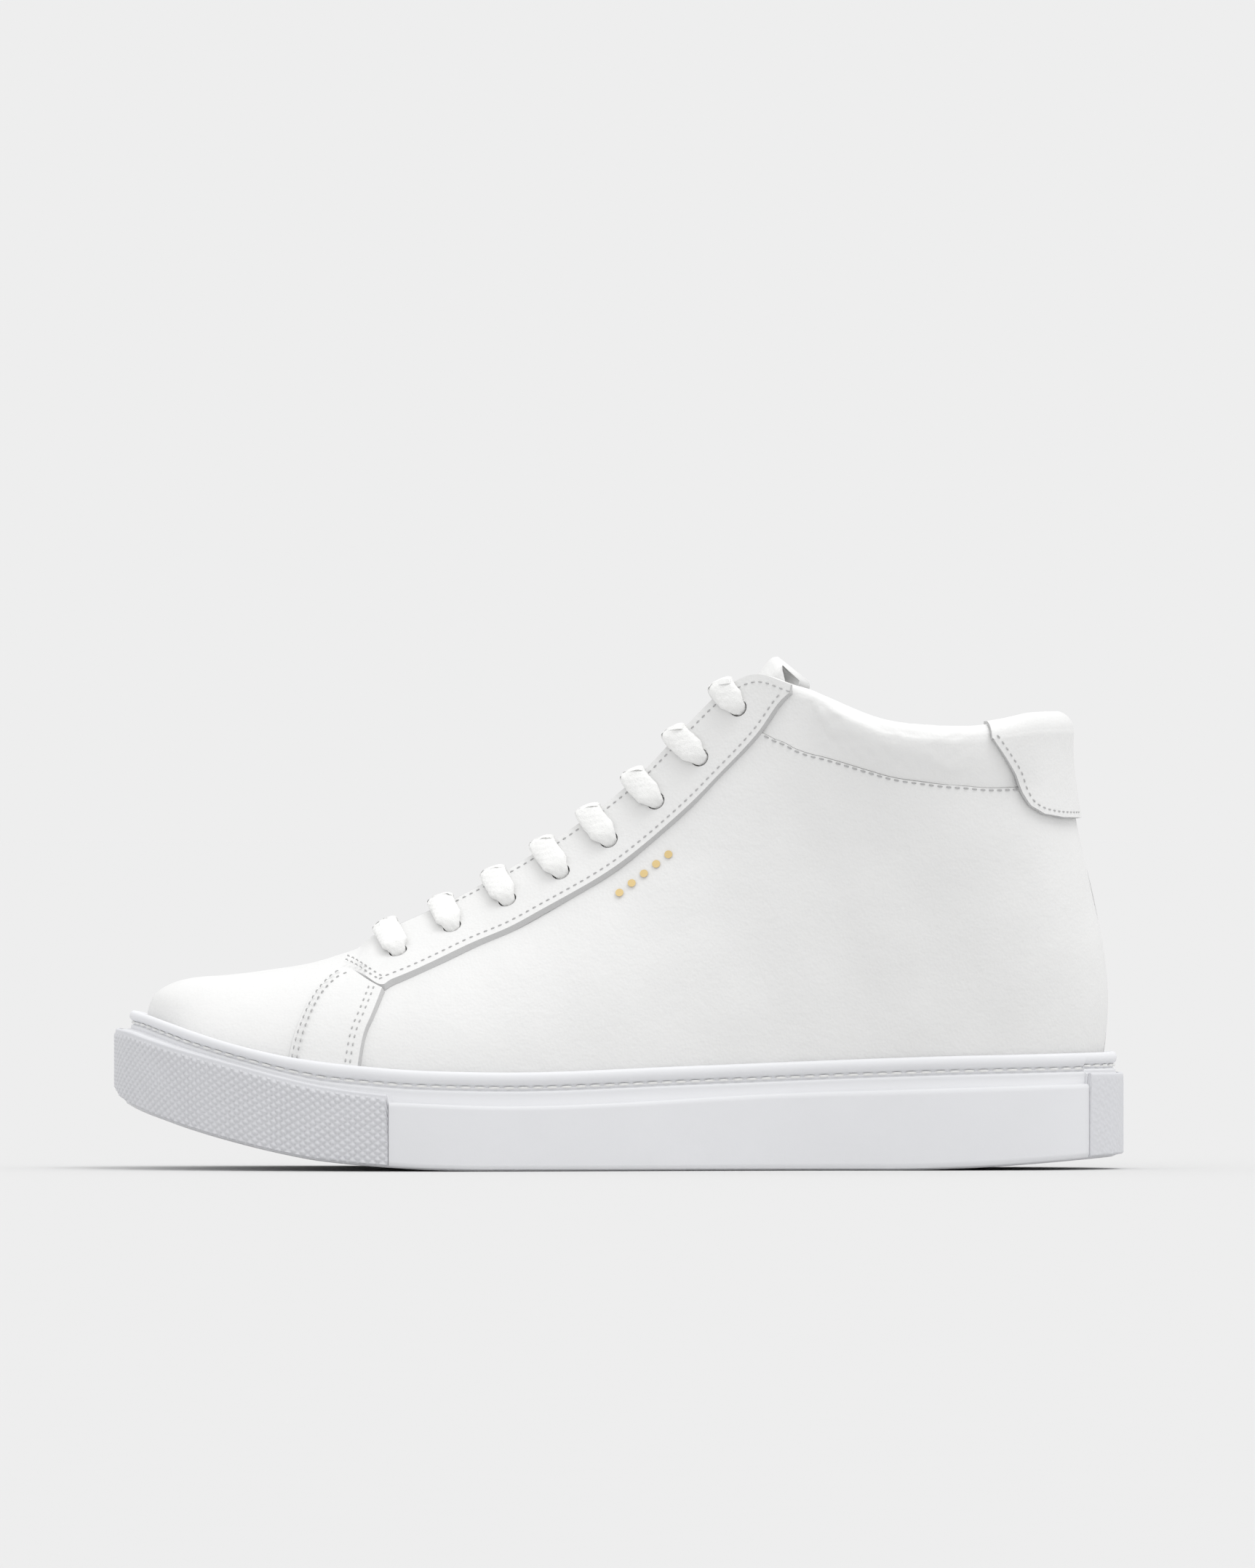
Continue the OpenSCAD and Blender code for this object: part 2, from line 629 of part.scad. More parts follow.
// Rib where the collar starts, under the eyestay, and where it begins to swell
COLLAR_START = 9.42;
COLLAR_SWELL = 9.8;
collar_rows = 15;
collar_r = collar_t / 2;

// Height along the rib of the collar's lower seam, from the top edge of the quarter
function seam_height(edge, s, i = 0) =
    i >= len(edge) - 2 || s < edge[i + 1][0]
        ? mix(edge[i][1], edge[i + 1][1], (s - edge[i][0]) / (edge[i + 1][0] - edge[i][0]))
        : seam_height(edge, s, i + 1);

// One section of the padded collar, as points drawn in by inset from its outside
function collar_section(side, s, low, inset) =
    let (
        b = rib(side, s),
        grow = ease((s - COLLAR_SWELL) / 0.9),
        r = mix(collar_r - 1.4, collar_r, grow),
        crown = mix(-0.1, collar_crown, grow),
        up = unit(bezier_slope(b, 1)),
        n = skin_normal([side, s, 1]),
        shoulder = 1 - r / norm(bezier_slope(b, 0.9)),
        c = b[3] - r * up - (r - crown) * n,
        inner_foot = lining_in
    )
    concat(
        [for (f = [0, 0.35, 0.7, 1]) raised([side, s, mix(low, shoulder, f)],
            mix(0, crown, sin(90 * f)) - inset)],
        [for (a = [30:30:150]) c + (r - inset) * (cos(a) * n + sin(a) * up)],
        [for (f = [1, 0.7, 0.35, 0]) raised([side, s, mix(low, shoulder, f)],
            -mix(inner_foot, 2 * r - crown, sin(90 * f)) + inset)]
    );
function collar_grid(inset) =
    let (edge = seek_all(QUARTER_TOP))
    [for (i = [0:2 * collar_rows])
        let (
            f = abs(i / collar_rows - 1),
            side = i < collar_rows ? LATERAL : MEDIAL,
            s = mix(HEEL, COLLAR_START, f)
        )
        collar_section(side, s, seam_height(edge, min(s, HEEL - 0.02)) + 0.015, inset)];

module collar_cover() {
    color([0.97, 0.97, 0.96])
    shell(collar_grid(0), collar_grid(lining_t), flip = true);
}

// The foam fills the collar cover: each section is closed across its feet
module collar_foam() {
    color([0.9, 0.88, 0.7])
    loft(collar_grid(lining_t + 0.2));
}

// A solid through closed sections
module loft(sections) {
    m = len(sections[0]);
    n = len(sections);
    polyhedron(
        points = [for (r = sections) each r],
        faces = concat(
            [for (i = [0:n - 2]) for (j = [0:m - 1]) let (k = (j + 1) % m)
                each [[i * m + j, (i + 1) * m + k, (i + 1) * m + j],
                    [i * m + j, i * m + k, (i + 1) * m + k]]],
            [for (j = [0:m / 2 - 1.5]) each [
                [j, m - 1 - j, j + 1], if (m - 2 - j > j + 1) [j + 1, m - 1 - j, m - 2 - j]]],
            [for (j = [0:m / 2 - 1.5]) let (o = (n - 1) * m) each [
                [o + j, o + j + 1, o + m - 1 - j],
                if (m - 2 - j > j + 1) [o + j + 1, o + m - 2 - j, o + m - 1 - j]]]
        )
    );
}

// The heel tab lies over the quarter and the collar and turns over the top edge
function tab_section(side, s, low, seam, off) =
    let (
        b = rib(side, s),
        r = collar_r,
        up = unit(bezier_slope(b, 1)),
        n = skin_normal([side, s, 1]),
        shoulder = 1 - r / norm(bezier_slope(b, 0.9)),
        c = b[3] - r * up - (r - collar_crown) * n,
        proud = function (t) t <= seam ? 0 : collar_crown * sin(90 * min(1, (t - seam) / (shoulder - seam)))
    )
    concat(
        [for (f = [0:0.2:1.01]) let (t = mix(low, shoulder, f))
            raised([side, s, t], proud(t) + off)],
        [for (a = [25:25:75]) c + (r + off) * (cos(a) * n + sin(a) * up)]
    );

module heel_tab() {
    edge = seek_all(QUARTER_TOP);
    low = seek_all(TAB_LOW);
    start = low[0][0];
    rows = 12;
    grid = function (off)
        [for (i = [0:2 * rows])
            let (
                f = abs(i / rows - 1),
                side = i < rows ? LATERAL : MEDIAL,
                s = mix(HEEL, start, f),
                m = min(s, HEEL - 0.02)
            )
            tab_section(side, s, seam_height(low, m), seam_height(edge, m), off)];
    color([0.97, 0.97, 0.96])
    shell(grid(overlay_out + 0.2), grid(overlay_in + 0.2), flip = true);
}

// ---------------------------------------------------------------- tongue

TONGUE_START = 3.3;
TONGUE_END = 9;
TONGUE_EDGE = 0.94;
tongue_rows = 14;

// Outer face of the tongue at rib s: along both sides inside the upper, arched in the middle
function tongue_row(s) =
    let (
        f = ease((s - TONGUE_START) / 2.5),
        reach = mix(0.13, 0.19, f),
        arch = mix(0.4, 4, f),
        edge = function (side, t) raised([side, s, t], -tongue_depth),
        a = edge(LATERAL, TONGUE_EDGE),
        b = edge(MEDIAL, TONGUE_EDGE),
        t1 = rib(LATERAL, s + 0.1)[3] - rib(LATERAL, s - 0.1)[3],
        up = unit([-t1.z, 0, t1.x]),
        bow = function (g) mix(a, b, g) + 4 * arch * g * (1 - g) * up
    )
    concat(
        [for (g = [0:0.25:0.99]) edge(LATERAL, TONGUE_EDGE - reach * (1 - g))],
        [for (g = [0:0.2:1.01]) bow(g)],
        [for (g = [0.25:0.25:1.01]) edge(MEDIAL, TONGUE_EDGE - reach * g)]
    );
function tongue_face() =
    let (
        rows = [for (i = [0:tongue_rows]) tongue_row(mix(TONGUE_START, TONGUE_END, i / tongue_rows))],
        last = rows[tongue_rows],
        middle = (last[6] + last[7]) / 2,
        climb = place(TONGUE_TIP) - [middle.x, 0, middle.z]
    )
    concat(rows, [for (f = [0.34, 0.67, 1]) [for (p = last)
        [p.x, p.y * (1 - 0.12 * f), p.z] + f * climb]]);

// Normals of a grid of points
function grid_normal(g, i, j) =
    let (
        a = g[min(i + 1, len(g) - 1)][j] - g[max(i - 1, 0)][j],
        b = g[i][min(j + 1, len(g[0]) - 1)] - g[i][max(j - 1, 0)]
    )
    unit(cross(a, b));
function deeper(g, depth) =
    [for (i = [0:len(g) - 1]) [for (j = [0:len(g[0]) - 1]) g[i][j] - depth * grid_normal(g, i, j)]];

module tongue_layer(outer, inner) {
    face = tongue_face();
    shell(deeper(face, outer), deeper(face, inner));
}
tongue_foam_out = leather_t + glue_gap;
tongue_foam_in = tongue_foam_out + tongue_pad;
tongue_lining_out = tongue_foam_in + layer_gap;

module tongue_outer() color([0.97, 0.97, 0.96]) tongue_layer(0, leather_t);
module tongue_foam() color([0.9, 0.88, 0.7]) tongue_layer(tongue_foam_out, tongue_foam_in);
module tongue_lining()
    color([0.93, 0.92, 0.89]) tongue_layer(tongue_lining_out, tongue_lining_out + lining_t);

// ---------------------------------------------------------------- lacing

function eyelet_place(side, i) = concat([side], seek(EYELETS[i]));
// Rib where the bar of an eyelet crosses the throat edge, square to the edge
function crossing(i) =
    let (
        e = place([EYELETS[i].x, 0, EYELETS[i].y]),
        ribs = [for (s = [4.2:0.05:9.4]) let (p = rib(LATERAL, s)[3]) [norm([p.x - e.x, p.z - e.z]), s]],
        best = min([for (r = ribs) r[0]])
    )
    [for (r = ribs) if (r[0] == best) r[1]][0];

// From the eyelet up through the hole, along the leather and over the corner of the throat edge
function climb_points(side, i) =
    let (
        q = eyelet_place(side, i),
        rim = [side, crossing(i), 1],
        hole = skin(q),
        n = skin_normal(q),
        corner = raised(rim, overlay_out),
        out = skin_normal(rim),
        along_edge = out + unit(bezier_slope(rib(side, rim[1]), 1)),
        above = unit([along_edge.x, 0, along_edge.z]),
        reach = lace_rise - overlay_out,
        d = raised(rim, lace_rise) - hole - lace_rise * n,
        share = bend / norm(d)
    )
    concat(
        [hole - (stiffener_in + layer_gap) * n, hole + (lace_rise - bend) * n,
            hole + (lace_rise - 0.3 * bend) * n + 0.3 * bend * unit(d)],
        [for (f = [0:1 / 3:0.99]) raised(mix(q, rim, mix(share, 1, f)), lace_rise)],
        [corner + reach * unit(out + above), corner + reach * above]
    );
function bar_points(i, from) =
    let (
        a = climb_points(from, i),
        b = climb_points(-from, i),
        last = len(a) - 1,
        m = (a[last] + b[last]) / 2
    )
    concat(a, [mix(a[last], m, 0.5) + [0, 0, 0.3], m + [0, 0, 0.4], mix(b[last], m, 0.5) + [0, 0, 0.3]],
        [for (k = [last:-1:0]) b[k]]);

// Under the eyestay from one eyelet towards the next
function run_point(side, i, f) =
    let (a = eyelet_place(side, i), b = eyelet_place(side, i + 1), q = mix(a, b, f))
    raised([side, q[1], q[2]], -lace_run);
run_start = 0.16;
function run_points(side, i) = [for (f = [run_start, 0.5, 1 - run_start]) run_point(side, i, f)];
LAST_EYELET = 7;

// The route: one lace, in at the first outer eyelet, bar by bar to the top
function bar_start(i) = i % 2 == 0 ? LATERAL : MEDIAL;
function lace_route() = concat(
    [run_point(LATERAL, 0, 0.48), run_point(LATERAL, 0, run_start)],
    [for (i = [0:LAST_EYELET]) each concat(
        bar_points(i, bar_start(i)),
        i < LAST_EYELET ? run_points(-bar_start(i), i) : []
    )],
    [run_point(LATERAL, LAST_EYELET - 1, 1 - run_start), run_point(LATERAL, LAST_EYELET - 1, 0.52)]
);

// A round tube swept along a route, its rings carried on without twist
function heading(r, i) = unit(r[min(i + 1, len(r) - 1)] - r[max(i - 1, 0)]);
function carry(r, i, n) =
    let (h = heading(r, i), v = unit(n - (n * h) * h))
    i == len(r) - 1 ? [v] : concat([v], carry(r, i + 1, v));
module tube(route, d, sides = 8) {
    across = carry(route, 0, [0.3, 0.5, 0.8]);
    n = len(route);
    points = [for (i = [0:n - 1])
        let (h = heading(route, i), u = across[i], v = cross(h, u))
        for (k = [0:sides - 1]) route[i] + d / 2 * (cos(k * 360 / sides) * u + sin(k * 360 / sides) * v)];
    polyhedron(
        points = points,
        faces = concat(
            [for (i = [0:n - 2]) for (k = [0:sides - 1]) let (j = (k + 1) % sides)
                each [[i * sides + k, (i + 1) * sides + k, (i + 1) * sides + j],
                    [i * sides + k, (i + 1) * sides + j, i * sides + j]]],
            [[for (k = [0:sides - 1]) k], [for (k = [sides - 1:-1:0]) (n - 1) * sides + k]]
        )
    );
}

module lace() {
    color([1, 1, 1])
    tube(lace_route(), lace_d);
}

// A straight rod between two points
module rod(a, b, d) {
    v = b - a;
    translate(a)
        rotate([0, acos(v.z / norm(v)), atan2(v.y, v.x)])
            cylinder(d = d, h = norm(v));
}

module lace_aglets() {
    color([0.9, 0.9, 0.9])
    for (end = [[0, 0.48, 1], [LAST_EYELET - 1, 0.52, 0]]) {
        a = run_point(LATERAL, end[0], end[1]);
        b = run_point(LATERAL, end[0], end[2]);
        rod(a + 0.2 * unit(b - a), a + (aglet_length + 0.2) * unit(b - a), lace_d - 0.6);
    }
}

// ---------------------------------------------------------------- foil mark

module foil_mark() {
    color([0.8, 0.66, 0.36])
    for (i = [0:MARK_DOTS - 1]) {
        offset_along = (i - (MARK_DOTS - 1) / 2) * MARK_PITCH;
        eyelet_frame(LATERAL, MARK_CENTRE + offset_along * [cos(MARK_SLOPE), sin(MARK_SLOPE)])
            translate([0, 0, layer_gap])
                cylinder(d = 2.4, h = 0.15);
    }
}

// ---------------------------------------------------------------- drawing

outsole_cup();
toe_bumper();
heel_bumper();
foxing_lateral();
foxing_medial();
sidewall_stitching();
midsole_filler();
heel_pad();
lasting_board();
footbed_foam();
footbed_cover();
vamp();
toe_puff();
vamp_lining();
side_stay_lateral();
side_stay_medial();
quarter_lateral();
quarter_medial();
quarter_lining_lateral();
quarter_lining_medial();
heel_counter();
heel_grip();
eyestay_lateral();
eyestay_medial();
eyestay_backing_lateral();
eyestay_backing_medial();
collar_cover();
collar_foam();
heel_tab();
tongue_outer();
tongue_foam();
tongue_lining();
lace();
lace_aglets();
foil_mark();
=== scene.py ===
"""High-top court sneaker, left foot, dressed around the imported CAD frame.

The shape follows the same curves as the CAD: a plan outline of the sole, side curves for the
heights, and ribs from the sole to the top of the upper. A place on the upper is a rib number s,
from 0 at the toe to 14 at the heel, and a share t of the way up that rib. Lengths are in
millimetres and become metres when a mesh is made.
"""

import math

import bmesh
import bpy
import numpy as np
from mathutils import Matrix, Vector


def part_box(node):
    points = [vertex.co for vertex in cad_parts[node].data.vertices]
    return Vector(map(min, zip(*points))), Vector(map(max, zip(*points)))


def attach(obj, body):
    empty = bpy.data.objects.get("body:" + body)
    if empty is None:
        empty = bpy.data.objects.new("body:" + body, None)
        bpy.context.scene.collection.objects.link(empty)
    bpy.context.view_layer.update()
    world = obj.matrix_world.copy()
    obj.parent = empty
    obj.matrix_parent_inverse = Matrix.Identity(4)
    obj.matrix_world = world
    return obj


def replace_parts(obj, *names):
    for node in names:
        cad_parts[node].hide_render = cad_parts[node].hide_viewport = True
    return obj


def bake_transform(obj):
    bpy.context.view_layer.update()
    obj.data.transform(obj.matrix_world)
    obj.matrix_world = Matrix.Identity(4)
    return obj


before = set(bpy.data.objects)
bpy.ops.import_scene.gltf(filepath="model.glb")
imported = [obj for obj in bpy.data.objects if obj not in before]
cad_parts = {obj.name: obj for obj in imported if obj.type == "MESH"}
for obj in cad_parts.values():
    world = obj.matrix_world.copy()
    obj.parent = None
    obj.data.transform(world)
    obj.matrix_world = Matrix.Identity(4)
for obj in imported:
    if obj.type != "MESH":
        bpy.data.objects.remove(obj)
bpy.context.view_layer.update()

MM = 0.001
LATERAL, MEDIAL = -1, 1
SIDES = {LATERAL: "lateral", MEDIAL: "medial"}

# ------------------------------------------------------------------ sizes, from the frame

toe_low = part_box("toe_bumper")[0] / MM
heel_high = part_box("heel_bumper")[1] / MM
tongue_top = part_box("tongue_outer")[1].z / MM

# The curves below are drawn for this size; the frame's size over it gives the scales.
DRAWN = {"length": 300.0, "stack": 29.0, "height": 153.1}
HEEL_TOP = 28.7
SX = (heel_high.x - toe_low.x) / DRAWN["length"]
SY = SX
SZ_SOLE = heel_high.z / HEEL_TOP
STACK = DRAWN["stack"] * SZ_SOLE
SZ_UPPER = (tongue_top - STACK) / (DRAWN["height"] - DRAWN["stack"])

# Distances inwards from the outline of the sole, and how much more at the toe

BUMPER = 1.4
CUP_INSET = BUMPER + 0.1
BAND_STEP = 0.5
LIP_INSET = CUP_INSET + 0.9
LIP_WALL = 2.2
TOE_LEAN = 2.6
INNER_LEAN = TOE_LEAN + 1.4
UPPER_INSET = LIP_INSET + LIP_WALL + 0.3
# How far below the lip the upper starts, and the sidewall stitching runs
UPPER_DROP = 9.6
STITCH_DROP = 4.6

# The layers of the upper, as distances out from its skin and in from it
LEATHER = 1.3
LINING = 1.0
STIFFENER = 1.1
GAP = 0.3
OVERLAY_IN = GAP
OVERLAY_OUT = GAP + LEATHER
STIFF_IN = LEATHER + GAP + STIFFENER
LINING_OUT = STIFF_IN + GAP
LINING_IN = LINING_OUT + LINING
COLLAR_R = 4.5
COLLAR_CROWN = 2.6

# The lace is a round cord in its holes and a flat tube over the leather
LACE_D = 4.2
LACE_ROOM = 1.4
LACE_WIDTH = 7.8
LACE_THICK = 3.1
LACE_RUN = STIFF_IN + GAP + LACE_D / 2
LACE_RISE = OVERLAY_OUT + 0.1 + LACE_THICK / 2
BEND = LACE_D / 2 + 0.4
EYELET_D = LACE_D + LACE_ROOM

TONGUE_DEPTH = LACE_RUN + LACE_D / 2 + 0.6
TONGUE_FOAM = 4.6
TONGUE_THICK = LEATHER + 0.1 + TONGUE_FOAM + GAP + LINING
TIP_THICK = 15.0

# ------------------------------------------------------------------ outlines and curves

PLAN = np.array([
    (150, 1), (146, -16), (128, -31), (95, -36.5), (50, -38.5), (2, -48), (-50, -55),
    (-100, -48), (-130, -31), (-146, -8), (-150, 11), (-146, 28), (-129, 44), (-98, 53.2),
    (-60, 53.2), (-10, 42), (50, 34.5), (95, 35.5), (128, 30.5), (146, 17),
], float)
# Lip where the upper leaves it
LIP = [(-150, 47.5), (-141, 47), (-120, 39.6), (-96, 33.8), (-79, 31.5), (-57, 29.7), (-32, 29.2),
       (21, 31), (97, 33.8), (150, 34.9)]
TREAD = [(-150, 23.5), (-148, 20.6), (-132, 13.9), (-118, 9.6), (-100, 5.2), (-88, 3), (-68, 1.1),
         (-50, 0.2), (-38, 0), (80, 0), (100, 0.5), (150, 4)]
# The rolled lip's own line, a little lower at the toe
LIP_LINE = [(-150, 46.9), (-146, 46.1), (-141, 44.6), (-130, 41.4), (-120, 38.6), (-108, 35.7),
            (-96, 33.4), (-79, 31.3), (-57, 29.7), (-32, 29.2), (21, 31), (97, 33.8), (150, 34.9)]
BUMPER_TOP = [(-150, 41.6), (-147, 41.1), (-141, 39.2), (-133, 36.7), (-121.7, 33.6),
              (-110.5, 30.7), (-99, 27.7), (-88, 25.3), (-76.6, 23.6), (-68, 22.7)]
BAND_TOP = [(-68, 20.4), (-32, 19.2), (54, 23), (95, 24.2), (150, 25.8)]
# Where the toe bumper ends and the heel bumper starts
TOE_END = -68
HEEL_START = 139.8

# Place along the plan, top (length, toe bias, half width, height), lower handle (rise, lean),
# upper handle (length, width outwards, height)
RIBS = [
    (0.0, (-99, 6, 0, 59.6), (18, -1.5), (-21, 0, -2.7)),
    (1.0, (-95, 5, 0, 60.3), (17, -1), (-14, 14, -2)),
    (2.0, (-89, 4, 0, 61.7), (17, 0), (-5, 22, -1.2)),
    (2.7, (-82, 2, 0, 63.9), (19, 1), (-1, 27, -0.8)),
    (3.25, (-76, 0.5, 0, 66.1), (21, 1.5), (0, 29, -1.5)),
    (3.7, (-66, 0, 9.5, 70.7), (24, 1.5), (1, 22, -9)),
    (4.2, (-45, 0, 11, 80.6), (28, 1), (2, 20, -14)),
    (4.8, (-20, 0, 12.5, 95.6), (32, 1), (3, 18, -20)),
    (5.5, (5, 0, 14.5, 114.8), (36, 1.5), (5, 14, -26)),
    (6.25, (34.8, 0, 19.5, 144.4), (40, 2), (8, 8, -32)),
    (6.75, (52.5, 0, 26, 143.4), (38, 3), (8, 4, -36)),
    (7.3, (78, 0, 33, 133.6), (36, 3.5), (5, -1, -34)),
    (7.9, (103, 0, 32, 131.4), (34, 4), (1, -1, -34)),
    (8.7, (123, 0, 22.5, 134.2), (36, 8.5), (-3, -1.5, -34)),
    (10.0, (134.5, 0, 0, 134.5), (38, 13), (-5.5, 0, -34.5)),
]
SEAM = 4
HEEL = 14

# Seams of the upper in side view, length and height; the eyestay's top edge is the throat
EYESTAY_LOW = [(-81, 60), (-75.5, 57.2), (-70, 54), (-65.5, 56), (-46, 64.9), (-32, 71),
               (-20.6, 77.3), (-2.5, 88), (11.5, 99), (27, 113.7), (41.3, 129), (51, 141.2)]
EYESTAY_TOP_X = [-77, -74.5, -70, -64, -50, -37, -25, -9, 6, 22, 38, 51.5]
QUARTER_TOP = [(-76.8, 60.5), (-66, 59), (-47, 67.6), (-33, 74.6), (-21.5, 81), (-5, 90.5),
               (8.5, 101.5), (23, 116), (32, 126), (41.5, 129.7), (46, 127.6), (52, 124.8),
               (63.4, 121.4), (75, 117.9), (89.3, 115), (103.7, 113.6), (118, 113.3),
               (135.3, 113.5)]
STAY_FRONT = [(-97.4, 31), (-94.4, 43.5), (-89.7, 52.8), (-84.8, 57.8), (-81, 59.7)]
STAY_REAR = [(-77, 28.7), (-75.1, 39.6), (-72.9, 45), (-71, 49.6), (-69.6, 53.2)]
EYELETS = [(-64.8, 63.7), (-48.8, 71.1), (-32.4, 79.1), (-16.6, 87.5), (-2.4, 97.2),
           (11.5, 108.9), (24.4, 121.9), (35.7, 136.8)]
TAB_LOW = [(109.5, 128), (113.5, 122), (116.6, 117), (118.6, 111.8), (121, 107.8), (125, 105.3),
           (130.5, 104.2), (135.2, 104)]
TONGUE_TIP = (46.2, 0, 153.1)
COLLAR_START = 9.16
COLLAR_SWELL = 9.8
TONGUE_START = 3.3
TONGUE_END = 9
TONGUE_EDGE = 0.94


def mix(a, b, f):
    return a + (b - a) * f


def ease(f):
    c = np.clip(f, 0, 1)
    return c * c * (3 - 2 * c)


def unit(v):
    return v / np.linalg.norm(v, axis=-1, keepdims=True)


def cubic(a, b, c, d, f):
    """Smooth curve from b to c, with a and d as neighbours."""
    return b + f / 2 * ((c - a) + f * ((2 * a - 5 * b + 4 * c - d) + f * (3 * (b - c) + d - a)))


def along(points, v):
    """Smooth curve through a list at fractional indices, straight past its ends."""
    p = np.asarray(points, float)
    p = np.concatenate([[2 * p[0] - p[1]], p, [2 * p[-1] - p[-2]]])
    v = np.asarray(v, float)
    i = np.clip(np.floor(v).astype(int), 0, len(points) - 2)
    return cubic(p[i], p[i + 1], p[i + 2], p[i + 3], (v - i)[..., None])


def graph(points, x):
    """Height of a side curve at each length, with no overshoot between its points."""
    xs, ys = np.asarray(points, float).T
    w = np.diff(xs)
    chord = np.diff(ys) / w
    a, b = chord[:-1], chord[1:]
    both = np.where(a * b <= 0, 1, a + b)
    m = np.concatenate([chord[:1], np.where(a * b <= 0, 0, 2 * a * b / both), chord[-1:]])
    x = np.clip(x, xs[0], xs[-1])
    i = np.clip(np.searchsorted(xs, x, side="right") - 1, 0, len(xs) - 2)
    f = (x - xs[i]) / w[i]
    return ((1 + 2 * f) * (1 - f) ** 2 * ys[i] + f * (1 - f) ** 2 * w[i] * m[i]
            + f * f * (3 - 2 * f) * ys[i + 1] - f * f * (1 - f) * w[i] * m[i + 1])


def lift(z):
    return np.where(z <= DRAWN["stack"], z * SZ_SOLE, STACK + (z - DRAWN["stack"]) * SZ_UPPER)


def lip(x):
    return lift(graph(LIP, x / SX))


def lip_line(x):
    return lift(graph(LIP_LINE, x / SX))


def tread(x):
    return lift(graph(TREAD, x / SX))


def band_line(x):
    """Top of the strip round the sole at a length: toe bumper, band or heel bumper."""
    side = np.where(x < TOE_END * SX, graph(BUMPER_TOP, x / SX), graph(BAND_TOP, x / SX))
    return lift(np.where(x > HEEL_START * SX, HEEL_TOP, side))


def plan(k):
    k = np.asarray(k, float)
    i = np.floor(k).astype(int)
    f = (k - i)[..., None]
    n = len(PLAN)
    return cubic(PLAN[(i - 1) % n], PLAN[i % n], PLAN[(i + 1) % n], PLAN[(i + 2) % n], f) * (SX, SY)


# The toe's lean starts at this length and is full after this run
LEAN_START, LEAN_RUN = -105, 45


def edge_point(k, inset, lean=0.0):
    """A point of the outline moved in by inset, and by lean more at the toe."""
    p = plan(k)
    d = unit(plan(np.asarray(k) + 0.02) - plan(np.asarray(k) - 0.02))
    share = ease((LEAN_START * SX - p[..., 0]) / (LEAN_RUN * SX))
    shift = inset + lean * share
    return p + shift[..., None] * np.stack([d[..., 1], -d[..., 0]], -1)


def mirrored(column, flip=None):
    """A rib column with one mirrored entry past each end."""
    c = np.asarray([r[column] for r in RIBS], float)
    before, after = c[1].copy(), c[-2].copy()
    if column == 0:
        before, after = -before, 20 - after
    elif flip is not None:
        before[flip] *= -1
        after[flip] *= -1
    return np.concatenate([[before], c, [after]])


PLACE, TOP, RISE, PULL = mirrored(0), mirrored(1, 2), mirrored(2), mirrored(3, 1)


def sample(column, s):
    i = np.clip(np.floor(s).astype(int), 0, HEEL - 1)
    f = s - i
    if column.ndim > 1:
        f = f[..., None]
    return cubic(column[i], column[i + 1], column[i + 2], column[i + 3], f)


# Ribs that lean out start further in, by this share of the lean, so they clear the lip
TUCK_SHARE = 0.26


def rib(side, s):
    """The four control points of the rib at each s on one side."""
    s = np.asarray(s, float)
    rise, top, pull = sample(RISE, s), sample(TOP, s), sample(PULL, s)
    k = 10 + side * sample(PLACE, s)
    tuck = UPPER_INSET + TUCK_SHARE * np.maximum(rise[..., 1], 0)
    base = edge_point(k, tuck, INNER_LEAN)
    out = unit(edge_point(k, tuck - 1, INNER_LEAN) - base)
    half = np.where(s <= SEAM, 0, np.maximum(top[..., 2], 0))
    tip = np.stack([top[..., 0] * SX, (top[..., 1] + side * half) * SY, lift(top[..., 3])], -1)
    z = lip(base[..., 0]) - UPPER_DROP
    b0 = np.stack([base[..., 0], base[..., 1], z], -1)
    b1 = b0 + np.stack([out[..., 0] * rise[..., 1], out[..., 1] * rise[..., 1],
                        rise[..., 0] * SZ_UPPER], -1)
    b2 = tip + np.stack([pull[..., 0] * SX, side * pull[..., 1] * SY, pull[..., 2] * SZ_UPPER], -1)
    return b0, b1, b2, tip


def bezier(b, t):
    t = np.asarray(t, float)[..., None]
    u = 1 - t
    return u ** 3 * b[0] + 3 * u * u * t * b[1] + 3 * u * t * t * b[2] + t ** 3 * b[3]


def bezier_slope(b, t):
    t = np.asarray(t, float)[..., None]
    u = 1 - t
    return 3 * (u * u * (b[1] - b[0]) + 2 * u * t * (b[2] - b[1]) + t * t * (b[3] - b[2]))


def skin(side, s, t):
    return bezier(rib(side, s), t)


def skin_normal(side, s, t):
    s = np.asarray(s, float)
    t = np.minimum(t, 0.97)
    ds = (bezier(rib(side, np.minimum(s + 0.03, HEEL)), t)
          - bezier(rib(side, np.maximum(s - 0.03, 0.002)), t))
    n = unit(-side * np.cross(ds, bezier_slope(rib(side, s), t)))
    ends = (s < 0.01) | (s > HEEL - 0.01)
    n[..., 1] = np.where(ends, 0, n[..., 1])
    return unit(n)


def raised(side, s, t, off):
    """Points of the upper moved out along the normal; off may be an array."""
    s, t = np.broadcast_arrays(np.asarray(s, float), np.asarray(t, float))
    off = np.broadcast_to(np.asarray(off, float), s.shape)
    return skin(side, s, t) + off[..., None] * skin_normal(side, s, t)


